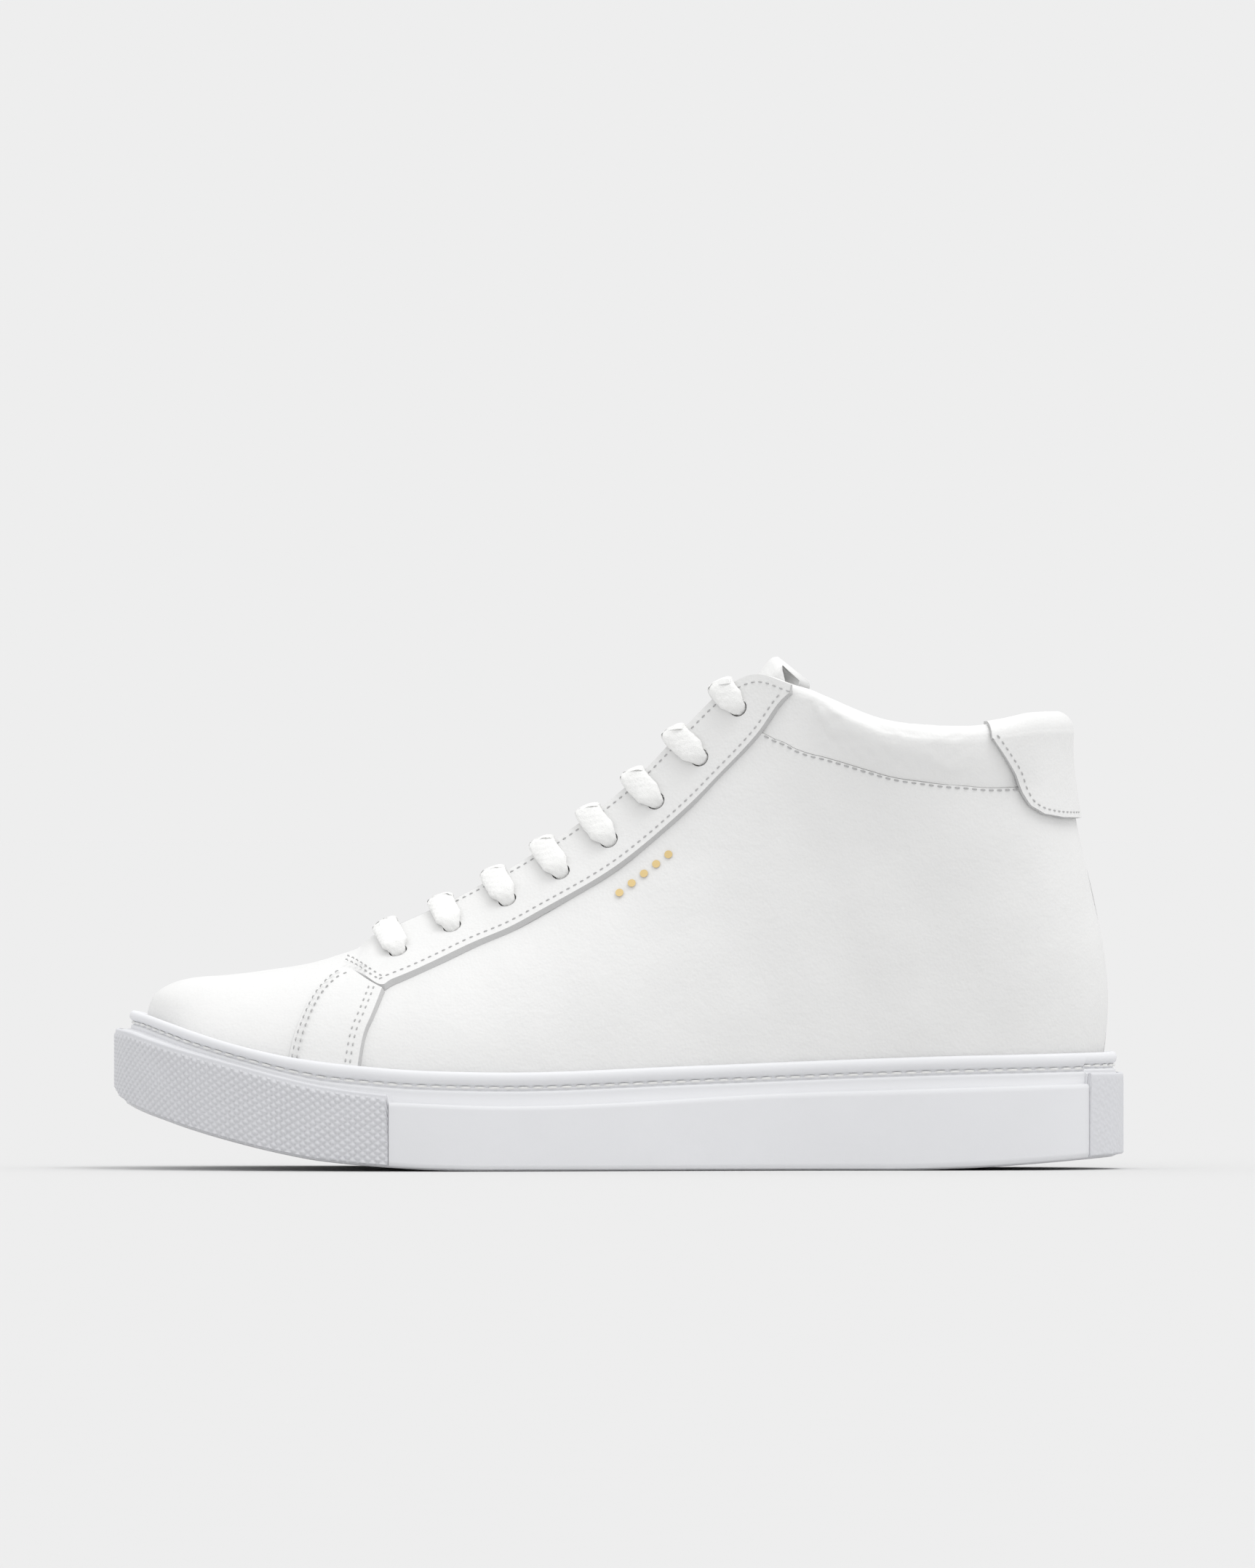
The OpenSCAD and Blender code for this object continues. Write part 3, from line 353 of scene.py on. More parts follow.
def seek(points):
    """Rib and height of each side-view point: a coarse search, then Newton steps."""
    p = np.asarray(points, float)
    x, z = p[:, 0] * SX, lift(p[:, 1])
    s_grid, t_grid = np.meshgrid(np.arange(0.3, HEEL, 0.3), np.arange(0.05, 1, 0.06), indexing="ij")
    net = skin(LATERAL, s_grid, t_grid)
    gap = (net[None, ..., 0] - x[:, None, None]) ** 2 + (net[None, ..., 2] - z[:, None, None]) ** 2
    best = gap.reshape(len(p), -1).argmin(1)
    s, t = s_grid.ravel()[best], t_grid.ravel()[best]

    def miss(s, t):
        q = skin(LATERAL, s, t)
        return q[:, 0] - x, q[:, 2] - z

    e = 0.01
    for _ in range(9):
        fx, fz = miss(s, t)
        ax, az = miss(np.minimum(s + e, HEEL), t)
        bx, bz = miss(s, t - e)
        ax, az, bx, bz = (ax - fx) / e, (az - fz) / e, (fx - bx) / e, (fz - bz) / e
        det = ax * bz - az * bx
        s = np.clip(s - np.clip((fx * bz - fz * bx) / det, -0.8, 0.8), 0.05, HEEL - 0.011)
        t = np.clip(t - np.clip((ax * fz - az * fx) / det, -0.2, 0.2), 0.01, 1)
    return np.stack([s, t], -1)


def rib_at(x, low, high):
    """Rib at which the top edge of the upper passes each length."""
    x = np.asarray(x, float) * SX
    low, high = np.full(len(x), float(low)), np.full(len(x), float(high))
    for _ in range(24):
        m = (low + high) / 2
        before = rib(LATERAL, m)[3][:, 0] < x
        low, high = np.where(before, m, low), np.where(before, high, m)
    return (low + high) / 2


def waves(p, length, seed, count=7):
    """Smooth random waves of about the given length, one value per point, from -1 to 1."""
    rng = np.random.default_rng(seed)
    total = np.zeros(p.shape[:-1])
    for _ in range(count):
        d = unit(rng.normal(size=3)) * 2 * math.pi / (length * rng.uniform(0.7, 1.5))
        total = total + np.sin(p @ d + rng.uniform(0, 2 * math.pi))
    return total / math.sqrt(count)


# ------------------------------------------------------------------ materials

NOISE, CELLS = "ShaderNodeTexNoise", "ShaderNodeTexVoronoi"
# How often the tint varies per metre, and how much the roughness varies with it
TINT_SCALE = 60
ROUGH_SHIFT = 0.08


def texture(tree, kind, scale, coords):
    t = tree.nodes.new(kind)
    t.inputs["Scale"].default_value = scale
    tree.links.new(coords, t.inputs["Vector"])
    return t


def surface(name, colour, roughness, grain=(), tint=0.03, specular=0.5, sheen=0.0):
    """A procedural material: a faint tint and gloss variation, and layers of fine relief.
    Each grain layer is (kind, scale per metre, strength, distance in metres)."""
    m = bpy.data.materials.new(name)
    m.use_nodes = True
    tree = m.node_tree
    shader = tree.nodes["Principled BSDF"]
    shader.inputs["Base Color"].default_value = (*colour, 1)
    shader.inputs["Roughness"].default_value = roughness
    shader.inputs["Specular IOR Level"].default_value = specular
    shader.inputs["Sheen Weight"].default_value = sheen
    coords = tree.nodes.new("ShaderNodeTexCoord").outputs["Object"]
    cloud = texture(tree, NOISE, TINT_SCALE, coords)
    cloud.inputs["Detail"].default_value = 4.0
    ramp = tree.nodes.new("ShaderNodeMix")
    ramp.data_type = "RGBA"
    ramp.inputs[6].default_value = (*[c * (1 - tint) for c in colour], 1)
    ramp.inputs[7].default_value = (*[min(1, c * (1 + tint)) for c in colour], 1)
    tree.links.new(cloud.outputs["Fac"], ramp.inputs[0])
    tree.links.new(ramp.outputs[2], shader.inputs["Base Color"])
    gloss = tree.nodes.new("ShaderNodeMapRange")
    gloss.inputs["To Min"].default_value = roughness - ROUGH_SHIFT
    gloss.inputs["To Max"].default_value = roughness + ROUGH_SHIFT
    tree.links.new(cloud.outputs["Fac"], gloss.inputs["Value"])
    tree.links.new(gloss.outputs["Result"], shader.inputs["Roughness"])
    last = None
    for kind, scale, strength, distance in grain:
        t = texture(tree, kind, scale, coords)
        bump = tree.nodes.new("ShaderNodeBump")
        bump.inputs["Strength"].default_value = strength
        bump.inputs["Distance"].default_value = distance
        out = t.outputs["Distance" if kind == CELLS else "Fac"]
        tree.links.new(out, bump.inputs["Height"])
        if last is not None:
            tree.links.new(last.outputs["Normal"], bump.inputs["Normal"])
        last = bump
    if last is not None:
        tree.links.new(last.outputs["Normal"], shader.inputs["Normal"])
    return m


LEATHER_GRAIN = [(CELLS, 1100, 0.35, 0.00016), (NOISE, 420, 0.45, 0.00025),
                 (NOISE, 110, 0.3, 0.0007)]
white_leather = surface("white_leather", (0.775, 0.775, 0.77), 0.42, LEATHER_GRAIN)
soft_leather = surface("soft_leather", (0.8, 0.8, 0.795), 0.46,
                       [(CELLS, 1300, 0.3, 0.00015), (NOISE, 300, 0.4, 0.0004)])
# The walls of the cut leather pieces are painted grey: painted shade, standing in for the shade on
# edges that face down.
shaded_cut_edge = surface("shaded_cut_edge", (0.56, 0.56, 0.56), 0.75, [(NOISE, 2500, 0.5, 0.0002)])
white_rubber = surface("white_rubber", (0.76, 0.765, 0.785), 0.5,
                       [(NOISE, 1800, 0.12, 0.0001), (NOISE, 120, 0.1, 0.0003)], tint=0.02)
# The bumpers are the same white rubber as the sole, painted darker: painted shade, standing in for
# the shade in their knurled and pebbled relief.
knurled_rubber_painted_shade = surface("knurled_rubber_painted_shade", (0.66, 0.665, 0.69), 0.55,
                         [(NOISE, 2200, 0.15, 0.0001)], tint=0.02)
lining_cloth = surface("lining_cloth", (0.8, 0.8, 0.78), 0.85,
                       [(CELLS, 1400, 0.5, 0.0003), (NOISE, 500, 0.4, 0.0004)], sheen=0.3)
cotton = surface("lace_cotton", (0.87, 0.87, 0.86), 0.9,
                 [(NOISE, 2600, 0.6, 0.0003), (NOISE, 900, 0.3, 0.0004)], sheen=0.4)
thread_white = surface("white_thread", (0.82, 0.82, 0.81), 0.7, [(NOISE, 3500, 0.5, 0.0002)])
# The upper's stitch thread is white; its grey colour is painted shade, standing in for the shadow
# in the stitch grooves and needle holes.
thread_painted_shade = surface("seam_thread_painted_shade", (0.47, 0.47, 0.47), 0.8, [(NOISE, 3500, 0.5, 0.0002)])
gold = surface("gold_foil", (0.72, 0.55, 0.27), 0.35, [(NOISE, 1500, 0.3, 0.0001)], tint=0.08)
gold.node_tree.nodes["Principled BSDF"].inputs["Metallic"].default_value = 0.8
foam = surface("foam", (0.82, 0.8, 0.68), 0.9, [(CELLS, 900, 0.6, 0.0006)])
fibre = surface("fibre_board", (0.62, 0.55, 0.44), 0.85, [(NOISE, 700, 0.5, 0.0004)], tint=0.1)
stiffening = surface("stiffening", (0.66, 0.61, 0.52), 0.8, [(NOISE, 900, 0.4, 0.0003)],
                     tint=0.08)
gel = surface("gel", (0.42, 0.62, 0.78), 0.35, [(NOISE, 200, 0.2, 0.0005)])
aglet = surface("aglet", (0.8, 0.8, 0.8), 0.3, [(NOISE, 300, 0.1, 0.0002)])
footbed_cloth = surface("footbed_cloth", (0.78, 0.77, 0.74), 0.9,
                        [(CELLS, 1100, 0.5, 0.0003)], sheen=0.3)

# ------------------------------------------------------------------ meshes


def mesh_piece(name, points, faces, paint, sharp=55.0, merge=0.0):
    """An object from points in millimetres."""
    mesh = bpy.data.meshes.new(name)
    mesh.from_pydata((np.asarray(points, float) * MM).tolist(), [], faces)
    edit = bmesh.new()
    edit.from_mesh(mesh)
    if merge:
        bmesh.ops.remove_doubles(edit, verts=edit.verts, dist=merge * MM)
    bmesh.ops.recalc_face_normals(edit, faces=edit.faces)
    edit.to_mesh(mesh)
    edit.free()
    mesh.polygons.foreach_set("use_smooth", [True] * len(mesh.polygons))
    mesh.set_sharp_from_angle(angle=math.radians(sharp))
    piece = bpy.data.objects.new(name, mesh)
    bpy.context.scene.collection.objects.link(piece)
    mesh.materials.append(paint)
    return piece


def grid_quads(rows, cols, start=0, loop=False):
    """Faces of a grid; with loop, the last column joins the first."""
    i, j = np.meshgrid(np.arange(rows - 1), np.arange(cols if loop else cols - 1), indexing="ij")
    k = (j + 1) % cols
    quads = np.stack([i * cols + j, (i + 1) * cols + j, (i + 1) * cols + k, i * cols + k], -1)
    return (quads.reshape(-1, 4) + start).tolist()


def strip(a, b):
    """Faces between two lists of indices."""
    return [[a[i], a[i + 1], b[i + 1], b[i]] for i in range(len(a) - 1)]


def shell(name, outer, inner, paint, first_wall=True, merge=0.0, rounded=False, edge_paint=None):
    """A shell between two grids with walls along its edges, except the first row's where
    first_wall is false; edge_paint is the material of the walls."""
    rows, cols = outer.shape[:2]
    n = rows * cols
    ids = np.arange(n).reshape(rows, cols)
    faces = grid_quads(rows, cols) + grid_quads(rows, cols, n)
    edges = [ids[0]] if first_wall else []
    for edge in edges + [ids[-1], ids[:, 0], ids[:, -1]]:
        faces += strip(edge.tolist(), (edge + n).tolist())
    piece = mesh_piece(name, np.concatenate([outer.reshape(-1, 3), inner.reshape(-1, 3)]), faces,
                       paint, merge=merge)
    if edge_paint:
        piece.data.materials.append(edge_paint)
        for face in piece.data.polygons[2 * (rows - 1) * (cols - 1):]:
            face.material_index = 1
    if rounded:
        soften(piece)
    return piece


PUFF_FRAMES = 16
# Share of the cap that a point may move inwards
INWARD_SHARE = 0.1


def puff(piece, held, pressure, grow, cap):
    """Blows the piece up as cloth cut a little too large, so it swells and creases. held is 1 where
    it is sewn down. A point moves out by at most cap, in millimetres."""
    mesh = piece.data
    rest = np.array([v.co for v in mesh.vertices])
    group = piece.vertex_groups.new(name="held")
    for i, weight in enumerate(held):
        group.add([i], float(weight), "REPLACE")
    cloth = piece.modifiers.new("cloth", "CLOTH")
    fabric = cloth.settings
    fabric.quality = 6
    fabric.mass = 0.15
    fabric.tension_stiffness = fabric.compression_stiffness = 18
    fabric.shear_stiffness = 8
    fabric.bending_stiffness = 0.6
    fabric.use_pressure = True
    fabric.uniform_pressure_force = pressure
    fabric.shrink_min = -grow
    fabric.vertex_group_mass = "held"
    fabric.effector_weights.gravity = 0
    cloth.collision_settings.use_collision = False
    cloth.point_cache.frame_start = 1
    cloth.point_cache.frame_end = PUFF_FRAMES
    scene = bpy.context.scene
    for number in range(1, PUFF_FRAMES + 1):
        scene.frame_set(number)
    shaped = piece.evaluated_get(bpy.context.evaluated_depsgraph_get()).data
    normals = np.array([v.normal for v in mesh.vertices])
    out = ((np.array([v.co for v in shaped.vertices]) - rest) * normals).sum(1)
    move = normals * np.clip(out, -INWARD_SHARE * cap * MM, cap * MM)[:, None]
    piece.modifiers.clear()
    mesh.vertices.foreach_set("co", (rest + move).ravel())
    mesh.update()
    scene.frame_set(1)


EDGE_ROUND = 0.22


def soften(piece):
    """Rounds the sharp edges of cut leather."""
    b = piece.modifiers.new("edge", "BEVEL")
    b.width = EDGE_ROUND * MM
    b.segments = 2
    b.limit_method = "ANGLE"
    b.angle_limit = math.radians(50)


def loft(name, sections, paint):
    """A closed solid through closed sections, one per row, with a fan of faces at each end."""
    rows, cols = sections.shape[:2]
    faces = grid_quads(rows, cols, loop=True)
    middles = [sections[0].mean(0), sections[-1].mean(0)]
    points = np.concatenate([sections.reshape(-1, 3), middles])
    for start, middle in ((0, len(points) - 2), ((rows - 1) * cols, len(points) - 1)):
        faces += [[start + j, start + (j + 1) % cols, middle] for j in range(cols)]
    return mesh_piece(name, points, faces, paint)


def apply_modifiers(piece):
    """Replaces the piece's mesh with its final shape."""
    final = bpy.data.meshes.new_from_object(
        piece.evaluated_get(bpy.context.evaluated_depsgraph_get()))
    piece.modifiers.clear()
    piece.data = final


def step(fine):
    return fine


# ------------------------------------------------------------------ vamp, quarters and linings

TOE_BULGE = 3.4


def toe_fullness(s, t):
    """From 0 to 1 where the toe's leather stands fullest, just above the lip."""
    return (1 - ease((s - 0.6) / 1.5)) * ease((t - 0.06) / 0.25) * (1 - ease((t - 0.3) / 0.5))


def folded(outer_off, inner_off, low, rows, cols, bulge=0.0):
    """Grids of the toe piece: columns climb the outer side and come down the inner side."""
    s = np.linspace(0, SEAM - 0.02, rows)[:, None]
    t = np.linspace(low, 1, cols)[None, :]
    both = []
    for off in (outer_off, inner_off):
        left, right = (raised(side, s, t, off + bulge * toe_fullness(s, t)) for side in SIDES)
        ridge = (left[:, -1:] + right[:, -1:]) / 2
        both.append(np.concatenate([left[:, :-1], ridge, right[:, -2::-1]], 1))
    return both


def undulate(points, inside, amount, length, seed):
    """The outer grid of a shell moved in and out by soft waves."""
    d = unit(points - inside)
    return points + d * (amount * waves(points, length, seed))[..., None]


outer, inner = folded(0, -LEATHER, 0, step(120), step(70), bulge=TOE_BULGE)
outer = undulate(outer, inner, 0.12, 22, 3)
vamp = shell("vamp", outer, inner, white_leather, first_wall=False, merge=0.02)
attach(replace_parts(vamp, "vamp"), "shoe")

outer, inner = folded(-LINING_OUT, -LINING_IN, 0.02, step(60), step(36))
vamp_lining = shell("vamp_lining", outer, inner, lining_cloth, first_wall=False, merge=0.02)
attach(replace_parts(vamp_lining, "vamp_lining"), "shoe")

QUARTER_EDGE = seek(QUARTER_TOP)
TAB_EDGE = seek(TAB_LOW)


def seam_height(edge, s):
    return np.interp(s, edge[:, 0], edge[:, 1])


def quarter(name, side, outer_off, inner_off, paint, rows, cols, wave=0.0):
    s = np.linspace(SEAM + 0.03, HEEL - 0.012, rows)[:, None]
    t = seam_height(QUARTER_EDGE, s) * np.linspace(0, 1, cols)[None, :]
    s = np.broadcast_to(s, t.shape)
    inside = raised(side, s, t, inner_off)
    outside = raised(side, s, t, outer_off)
    if wave:
        outside = undulate(outside, inside, wave, 26, 5 + side)
    return shell(name, outside, inside, paint)


for side, word in SIDES.items():
    leather = quarter("quarter_" + word, side, 0, -LEATHER, white_leather, step(220),
                      step(60), wave=0.14)
    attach(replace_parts(leather, "quarter_" + word), "shoe")
    lining = quarter("quarter_lining_" + word, side, -LINING_OUT, -LINING_IN, lining_cloth,
                     step(120), step(36))
    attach(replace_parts(lining, "quarter_lining_" + word), "shoe")


# ------------------------------------------------------------------ overlays

def ruled(low, high, rows, cols):
    """Places between two edges, each a list of [rib, height] pairs."""
    v = np.linspace(0, len(low) - 1, rows)
    f = np.linspace(0, 1, cols)[None, :, None]
    q = along(low, v)[:, None] * (1 - f) + along(high, v)[:, None] * f
    return np.clip(q[..., 0], 0, HEEL - 0.011), np.clip(q[..., 1], 0, 1)


# Ahead of this length the throat's edge is the ridge of the toe, behind it the open throat
RIDGE_LIMIT = -75.9
# Share of the full thickness left at the eyestay's front end, where it is skived to blend in
SKIVED = 0.12
# How far the cut edges slope out under the leather, and how high the underside lies
CUT_SLANT = 0.7
UNDERSIDE = 0.02
STAY_LOW = seek(EYESTAY_LOW)
throat_x = np.array(EYESTAY_TOP_X, float)
throat_rib = np.where(throat_x < RIDGE_LIMIT, rib_at(throat_x, 0, SEAM + 1),
                      rib_at(throat_x, SEAM, HEEL))
STAY_HIGH = np.stack([throat_rib, np.ones(len(throat_rib))], -1)
FRONT, REAR = seek(STAY_FRONT), seek(STAY_REAR)
HOLES = seek(EYELETS)


def shifted(places, distance):
    """The same line moved sideways on the upper by a distance, positive towards the left of it."""
    p = skin(LATERAL, places[:, 0], places[:, 1])
    flat_line = np.stack([p[:, 0], p[:, 2]], -1)
    d = unit(np.gradient(flat_line, axis=0))
    moved = flat_line + distance * np.stack([-d[:, 1], d[:, 0]], -1)
    z = moved[:, 1]
    drawn = np.where(z <= STACK, z / SZ_SOLE, DRAWN["stack"] + (z - STACK) / SZ_UPPER)
    return seek(np.stack([moved[:, 0] / SX, drawn], -1))


def frame_on(side, q):
    """Point, two tangents and the normal at one place of the upper."""
    p = skin(side, q[0], q[1])
    n = skin_normal(side, q[0], q[1])
    u = unit(np.cross((0, 1, 0), n))
    return p, u, np.cross(n, u), n


def rods(name, ends, radius, sides=24):
    """Straight cylinders, one per pair of ends, in one object."""
    points, faces = [], []
    turn = np.linspace(0, 2 * math.pi, sides, endpoint=False)
    for a, b in ends:
        d = unit(b - a)
        u = unit(np.cross(d, (0.3, 1, 0.2)))
        v = np.cross(d, u)
        ring = radius * (np.cos(turn)[:, None] * u + np.sin(turn)[:, None] * v)
        start = len(points)
        points += list(a + ring) + list(b + ring)
        faces += [[start + i, start + (i + 1) % sides, start + sides + (i + 1) % sides,
                   start + sides + i] for i in range(sides)]
        faces += [list(range(start, start + sides)), list(range(start + sides, start + 2 * sides))]
    return mesh_piece(name, np.array(points), faces, white_leather)


for side, word in SIDES.items():
    s, t = ruled(STAY_LOW, STAY_HIGH, step(260), step(26))
    thin = mix(SKIVED, 1, ease(np.linspace(0, len(STAY_LOW) - 1, len(s)) / 1.6))[:, None]
    under_s, under_t = ruled(shifted(STAY_LOW, -CUT_SLANT), STAY_HIGH, *s.shape)
    eyestay = shell("eyestay_" + word, raised(side, s, t, OVERLAY_OUT * thin),
                    raised(side, under_s, under_t, UNDERSIDE * thin), white_leather,
                    edge_paint=shaded_cut_edge)
    drills = []
    for q in HOLES:
        p, u, v, n = frame_on(side, q)
        drills.append((p - 6 * n, p + 6 * n))
    drill = rods("drill", drills, EYELET_D / 2)
    cut = eyestay.modifiers.new("holes", "BOOLEAN")
    cut.object = drill
    cut.solver = "EXACT"
    apply_modifiers(eyestay)
    bpy.data.objects.remove(drill)
    soften(eyestay)
    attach(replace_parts(eyestay, "eyestay_" + word), "shoe")

    s, t = ruled(FRONT, REAR, step(90), step(40))
    thin = mix(0.4, 1, ease(np.linspace(0, 1, s.shape[1]) / 0.3))[None, :]
    under_s, under_t = ruled(FRONT, shifted(REAR, -CUT_SLANT), *s.shape)
    stay = shell("side_stay_" + word, raised(side, s, t, OVERLAY_OUT * thin),
                 raised(side, under_s, under_t, UNDERSIDE * thin), white_leather, rounded=True,
                 edge_paint=shaded_cut_edge)
    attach(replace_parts(stay, "side_stay_" + word), "shoe")

# ------------------------------------------------------------------ collar and heel tab


def crown_at(s):
    """How far the collar stands out from the upper, and the radius of its rolled top."""
    grow = ease((s - COLLAR_SWELL) / 0.9)
    crown = mix(-0.1, COLLAR_CROWN, grow) - HEEL_FLAT * ease((s - 11.6) / 2.2)
    return crown, mix(COLLAR_R - 1.4, COLLAR_R, grow)


def band_places(s):
    """Heights on the ribs of the collar's lower seam and of the foot of its rolled top."""
    shoulder = 1 - crown_at(s)[1] / np.linalg.norm(
        bezier_slope(rib(LATERAL, s), np.full_like(s, 0.9)), axis=-1)
    return seam_height(QUARTER_EDGE, np.minimum(s, HEEL - 0.02)), shoulder


# How deep the collar's lower seam is pulled in, and how much flatter the collar is at the heel
SEAM_SINK = 0.5
HEEL_FLAT = 3.0


def collar_sections(side, s):
    """Closed sections of the padded collar: outer flank, rolled top, inner flank."""
    b = rib(side, s)
    crown, r = crown_at(s)
    up = unit(bezier_slope(b, np.ones_like(s)))
    n = skin_normal(side, s, np.ones_like(s))
    low, shoulder = band_places(s)
    low = low + 0.001
    centre = b[3] - r[:, None] * up - (r - crown)[:, None] * n
    f = np.linspace(0, 1, 14)[None, :]
    t = low[:, None] + (shoulder - low)[:, None] * f
    full = np.sin(f * math.pi / 2)
    outer_side = raised(side, s[:, None], t, (crown + SEAM_SINK)[:, None] * full - SEAM_SINK)
    depth = LINING_IN + (2 * r - crown - LINING_IN)[:, None] * full
    inner_side = raised(side, s[:, None], t, -depth)
    a = np.linspace(0, math.pi, 20)[1:-1]
    ring = centre[:, None] + r[:, None, None] * (
        np.cos(a)[None, :, None] * n[:, None] + np.sin(a)[None, :, None] * up[:, None])
    return np.concatenate([outer_side, ring, inner_side[:, ::-1]], 1)


def around_heel(start, count):
    """Sides and ribs from the outer side round the heel to the inner side."""
    half = np.linspace(start, HEEL, count)
    return half, half[::-1][1:]


outer_half, inner_half = around_heel(COLLAR_START, step(120))
sections = np.concatenate([collar_sections(LATERAL, outer_half),
                           collar_sections(MEDIAL, inner_half)])
collar = loft("collar_cover", sections, soft_leather)
ribs_in_order = np.concatenate([outer_half, inner_half])
# Held where it is sewn down, under the tab and at its front end
feet = np.minimum(np.arange(sections.shape[1]), np.arange(sections.shape[1])[::-1])
sewn = np.clip(1 - (feet[None, :] - 1) / 3, 0, 1)
under_tab = ease((ribs_in_order - TAB_EDGE[0, 0] + 0.5) / 0.5)
at_front = 1 - ease((ribs_in_order - COLLAR_SWELL) / 0.6)
held = np.maximum(sewn, np.maximum(under_tab, at_front)[:, None]).ravel()
puff(collar, np.concatenate([held, [1, 1]]), pressure=6.0, grow=0.012, cap=1.2)
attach(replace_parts(collar, "collar_cover", "collar_foam"), "shoe")


TAB_CLEAR = 0.2


def tab_rows(side, s, off):
    """One face of the heel tab, from its lower edge up over the collar's rolled top."""
    b = rib(side, s)
    up = unit(bezier_slope(b, np.ones_like(s)))
    n = skin_normal(side, s, np.ones_like(s))
    low = seam_height(TAB_EDGE, np.minimum(s, HEEL - 0.02))
    seam, shoulder = band_places(s)
    crown, r = crown_at(s)
    centre = b[3] - r[:, None] * up - (r - crown)[:, None] * n
    f = np.linspace(0, 1, 26)[None, :]
    t = low[:, None] + (shoulder - low)[:, None] * f
    share = np.clip((t - seam[:, None]) / (shoulder - seam)[:, None], 0, 1)
    proud = crown[:, None] * np.sin(share * math.pi / 2)
    face = raised(side, s[:, None], t, proud + off)
    a = np.radians(np.linspace(4, 80, 14))
    roll = centre[:, None] + (r[:, None] + mix(off, 0.6 * off, np.sin(a))[None, :])[..., None] * (
        np.cos(a)[None, :, None] * n[:, None] + np.sin(a)[None, :, None] * up[:, None])
    return np.concatenate([face, roll], 1)


outer_half, inner_half = around_heel(TAB_EDGE[0, 0], step(50))
tab_outer, tab_inner = (
    np.concatenate([tab_rows(LATERAL, outer_half, off), tab_rows(MEDIAL, inner_half, off)])
    for off in (OVERLAY_OUT + TAB_CLEAR, OVERLAY_IN + TAB_CLEAR))
heel_tab = shell("heel_tab", tab_outer, tab_inner, white_leather, rounded=True,
                 edge_paint=shaded_cut_edge)
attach(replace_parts(heel_tab, "heel_tab"), "shoe")

# ------------------------------------------------------------------ tongue


def tongue_rows(s, cols):
    """Outer face of the tongue: along both sides inside the upper, arched in the middle."""
    # From the seam upwards the wings reach further down and the arch rises
    f = ease((s - TONGUE_START) / 2.5)
    reach, arch = mix(0.13, 0.19, f), mix(0.4, 4, f)
    across = rib(LATERAL, s + 0.1)[3] - rib(LATERAL, s - 0.1)[3]
    up = unit(np.stack([-across[:, 2], np.zeros(len(s)), across[:, 0]], -1))
    ends = [raised(side, s, np.full_like(s, TONGUE_EDGE), -TONGUE_DEPTH) for side in SIDES]
    wing = np.linspace(0, 1, cols // 4)[:-1]
    t = TONGUE_EDGE - reach[:, None] * (1 - wing)[None, :]
    flanks = [raised(side, s[:, None], t, -TONGUE_DEPTH) for side in SIDES]
    g = np.linspace(0, 1, cols // 2)
    bow = (ends[0][:, None] * (1 - g)[None, :, None] + ends[1][:, None] * g[None, :, None]
           + (4 * arch[:, None] * (g * (1 - g))[None, :])[..., None] * up[:, None])
    return np.concatenate([flanks[0], bow, flanks[1][:, ::-1]], 1)


def tongue_surface(rows, cols):
    """Outer face of the whole tongue; past the last rib it climbs straight to the tip."""
    s = np.linspace(TONGUE_START, TONGUE_END, rows)
    face = tongue_rows(s, cols)
    last = face[-1]
    middle = last[last.shape[0] // 2]
    tip = np.array([TONGUE_TIP[0] * SX, 0, float(lift(np.float64(TONGUE_TIP[2])))])
    climb = tip - (middle[0], 0, middle[2])
    extra = []
    for f in np.linspace(0, 1, 14)[1:]:
        p = last.copy()
        p[:, 1] *= 1 - 0.12 * f
        extra.append(p + f * climb)
    return np.concatenate([face, np.array(extra)])


face = tongue_surface(step(90), step(64))
rows, cols = face.shape[:2]
normals = unit(np.cross(np.gradient(face, axis=0), np.gradient(face, axis=1)))
if normals[rows // 2, cols // 2, 2] < 0:
    normals = -normals
v = np.linspace(-1, 1, cols)[None, :]
u = np.linspace(0, 1, rows)[:, None]
# Full thickness in the middle, rounded off at both sides and at the tip
TIP_ROUND, EDGE_LEFT, TIP_LEFT = 0.03, 0.12, 0.8
to_tip = np.clip((1 - u) / TIP_ROUND, 0, 1)
full = (np.maximum((1 - np.abs(v) ** 8) ** 0.5, EDGE_LEFT)
        * mix(TIP_LEFT, 1, (1 - (1 - to_tip) ** 2) ** 0.5))
# The middle of the last fifth is padded thicker
in_middle = 1 - ease((np.abs(v) - 0.2) / 0.45)
half = mix(TONGUE_THICK, TIP_THICK, ease((u - 0.8) / 0.2) * in_middle) / 2
core = face - half[..., None] * normals
front = core + (half * full)[..., None] * normals
back = core - (half * full)[..., None] * normals
tongue = shell("tongue_outer", front, back, soft_leather)
# Held along its edges, at its seam and at the tip
edges = np.minimum(np.arange(cols), np.arange(cols)[::-1])[None, :]
at_seam, at_tip = 1 - ease((u - 0.15) / 0.2), ease((u - 0.97) / 0.02)
held = np.maximum(np.maximum(np.clip(1 - edges / 3, 0, 1), at_seam), at_tip)
puff(tongue, np.concatenate([held.ravel(), held.ravel()]), pressure=4.0, grow=0.01, cap=1.0)
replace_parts(tongue, "tongue_outer", "tongue_foam")

# The lining is the back of the tongue, two rows short of its edges and tip
LINING_TOP, LINING_DEEP = 0.05, 1.5
inside = (slice(None, -2), slice(2, cols - 2))
tongue_lining = shell("tongue_lining", back[inside] - LINING_TOP * normals[inside],
                      back[inside] - LINING_DEEP * normals[inside], lining_cloth)
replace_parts(tongue_lining, "tongue_lining")
for piece in (tongue, tongue_lining):
    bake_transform(piece)

# ------------------------------------------------------------------ sole unit

K_STEPS = step(1400)
k_all = np.linspace(0, 20, K_STEPS, endpoint=False)
edge_x = plan(k_all)[:, 0]
LIP_AT, TREAD_AT, BAND_AT = lip_line(edge_x), tread(edge_x), band_line(edge_x)

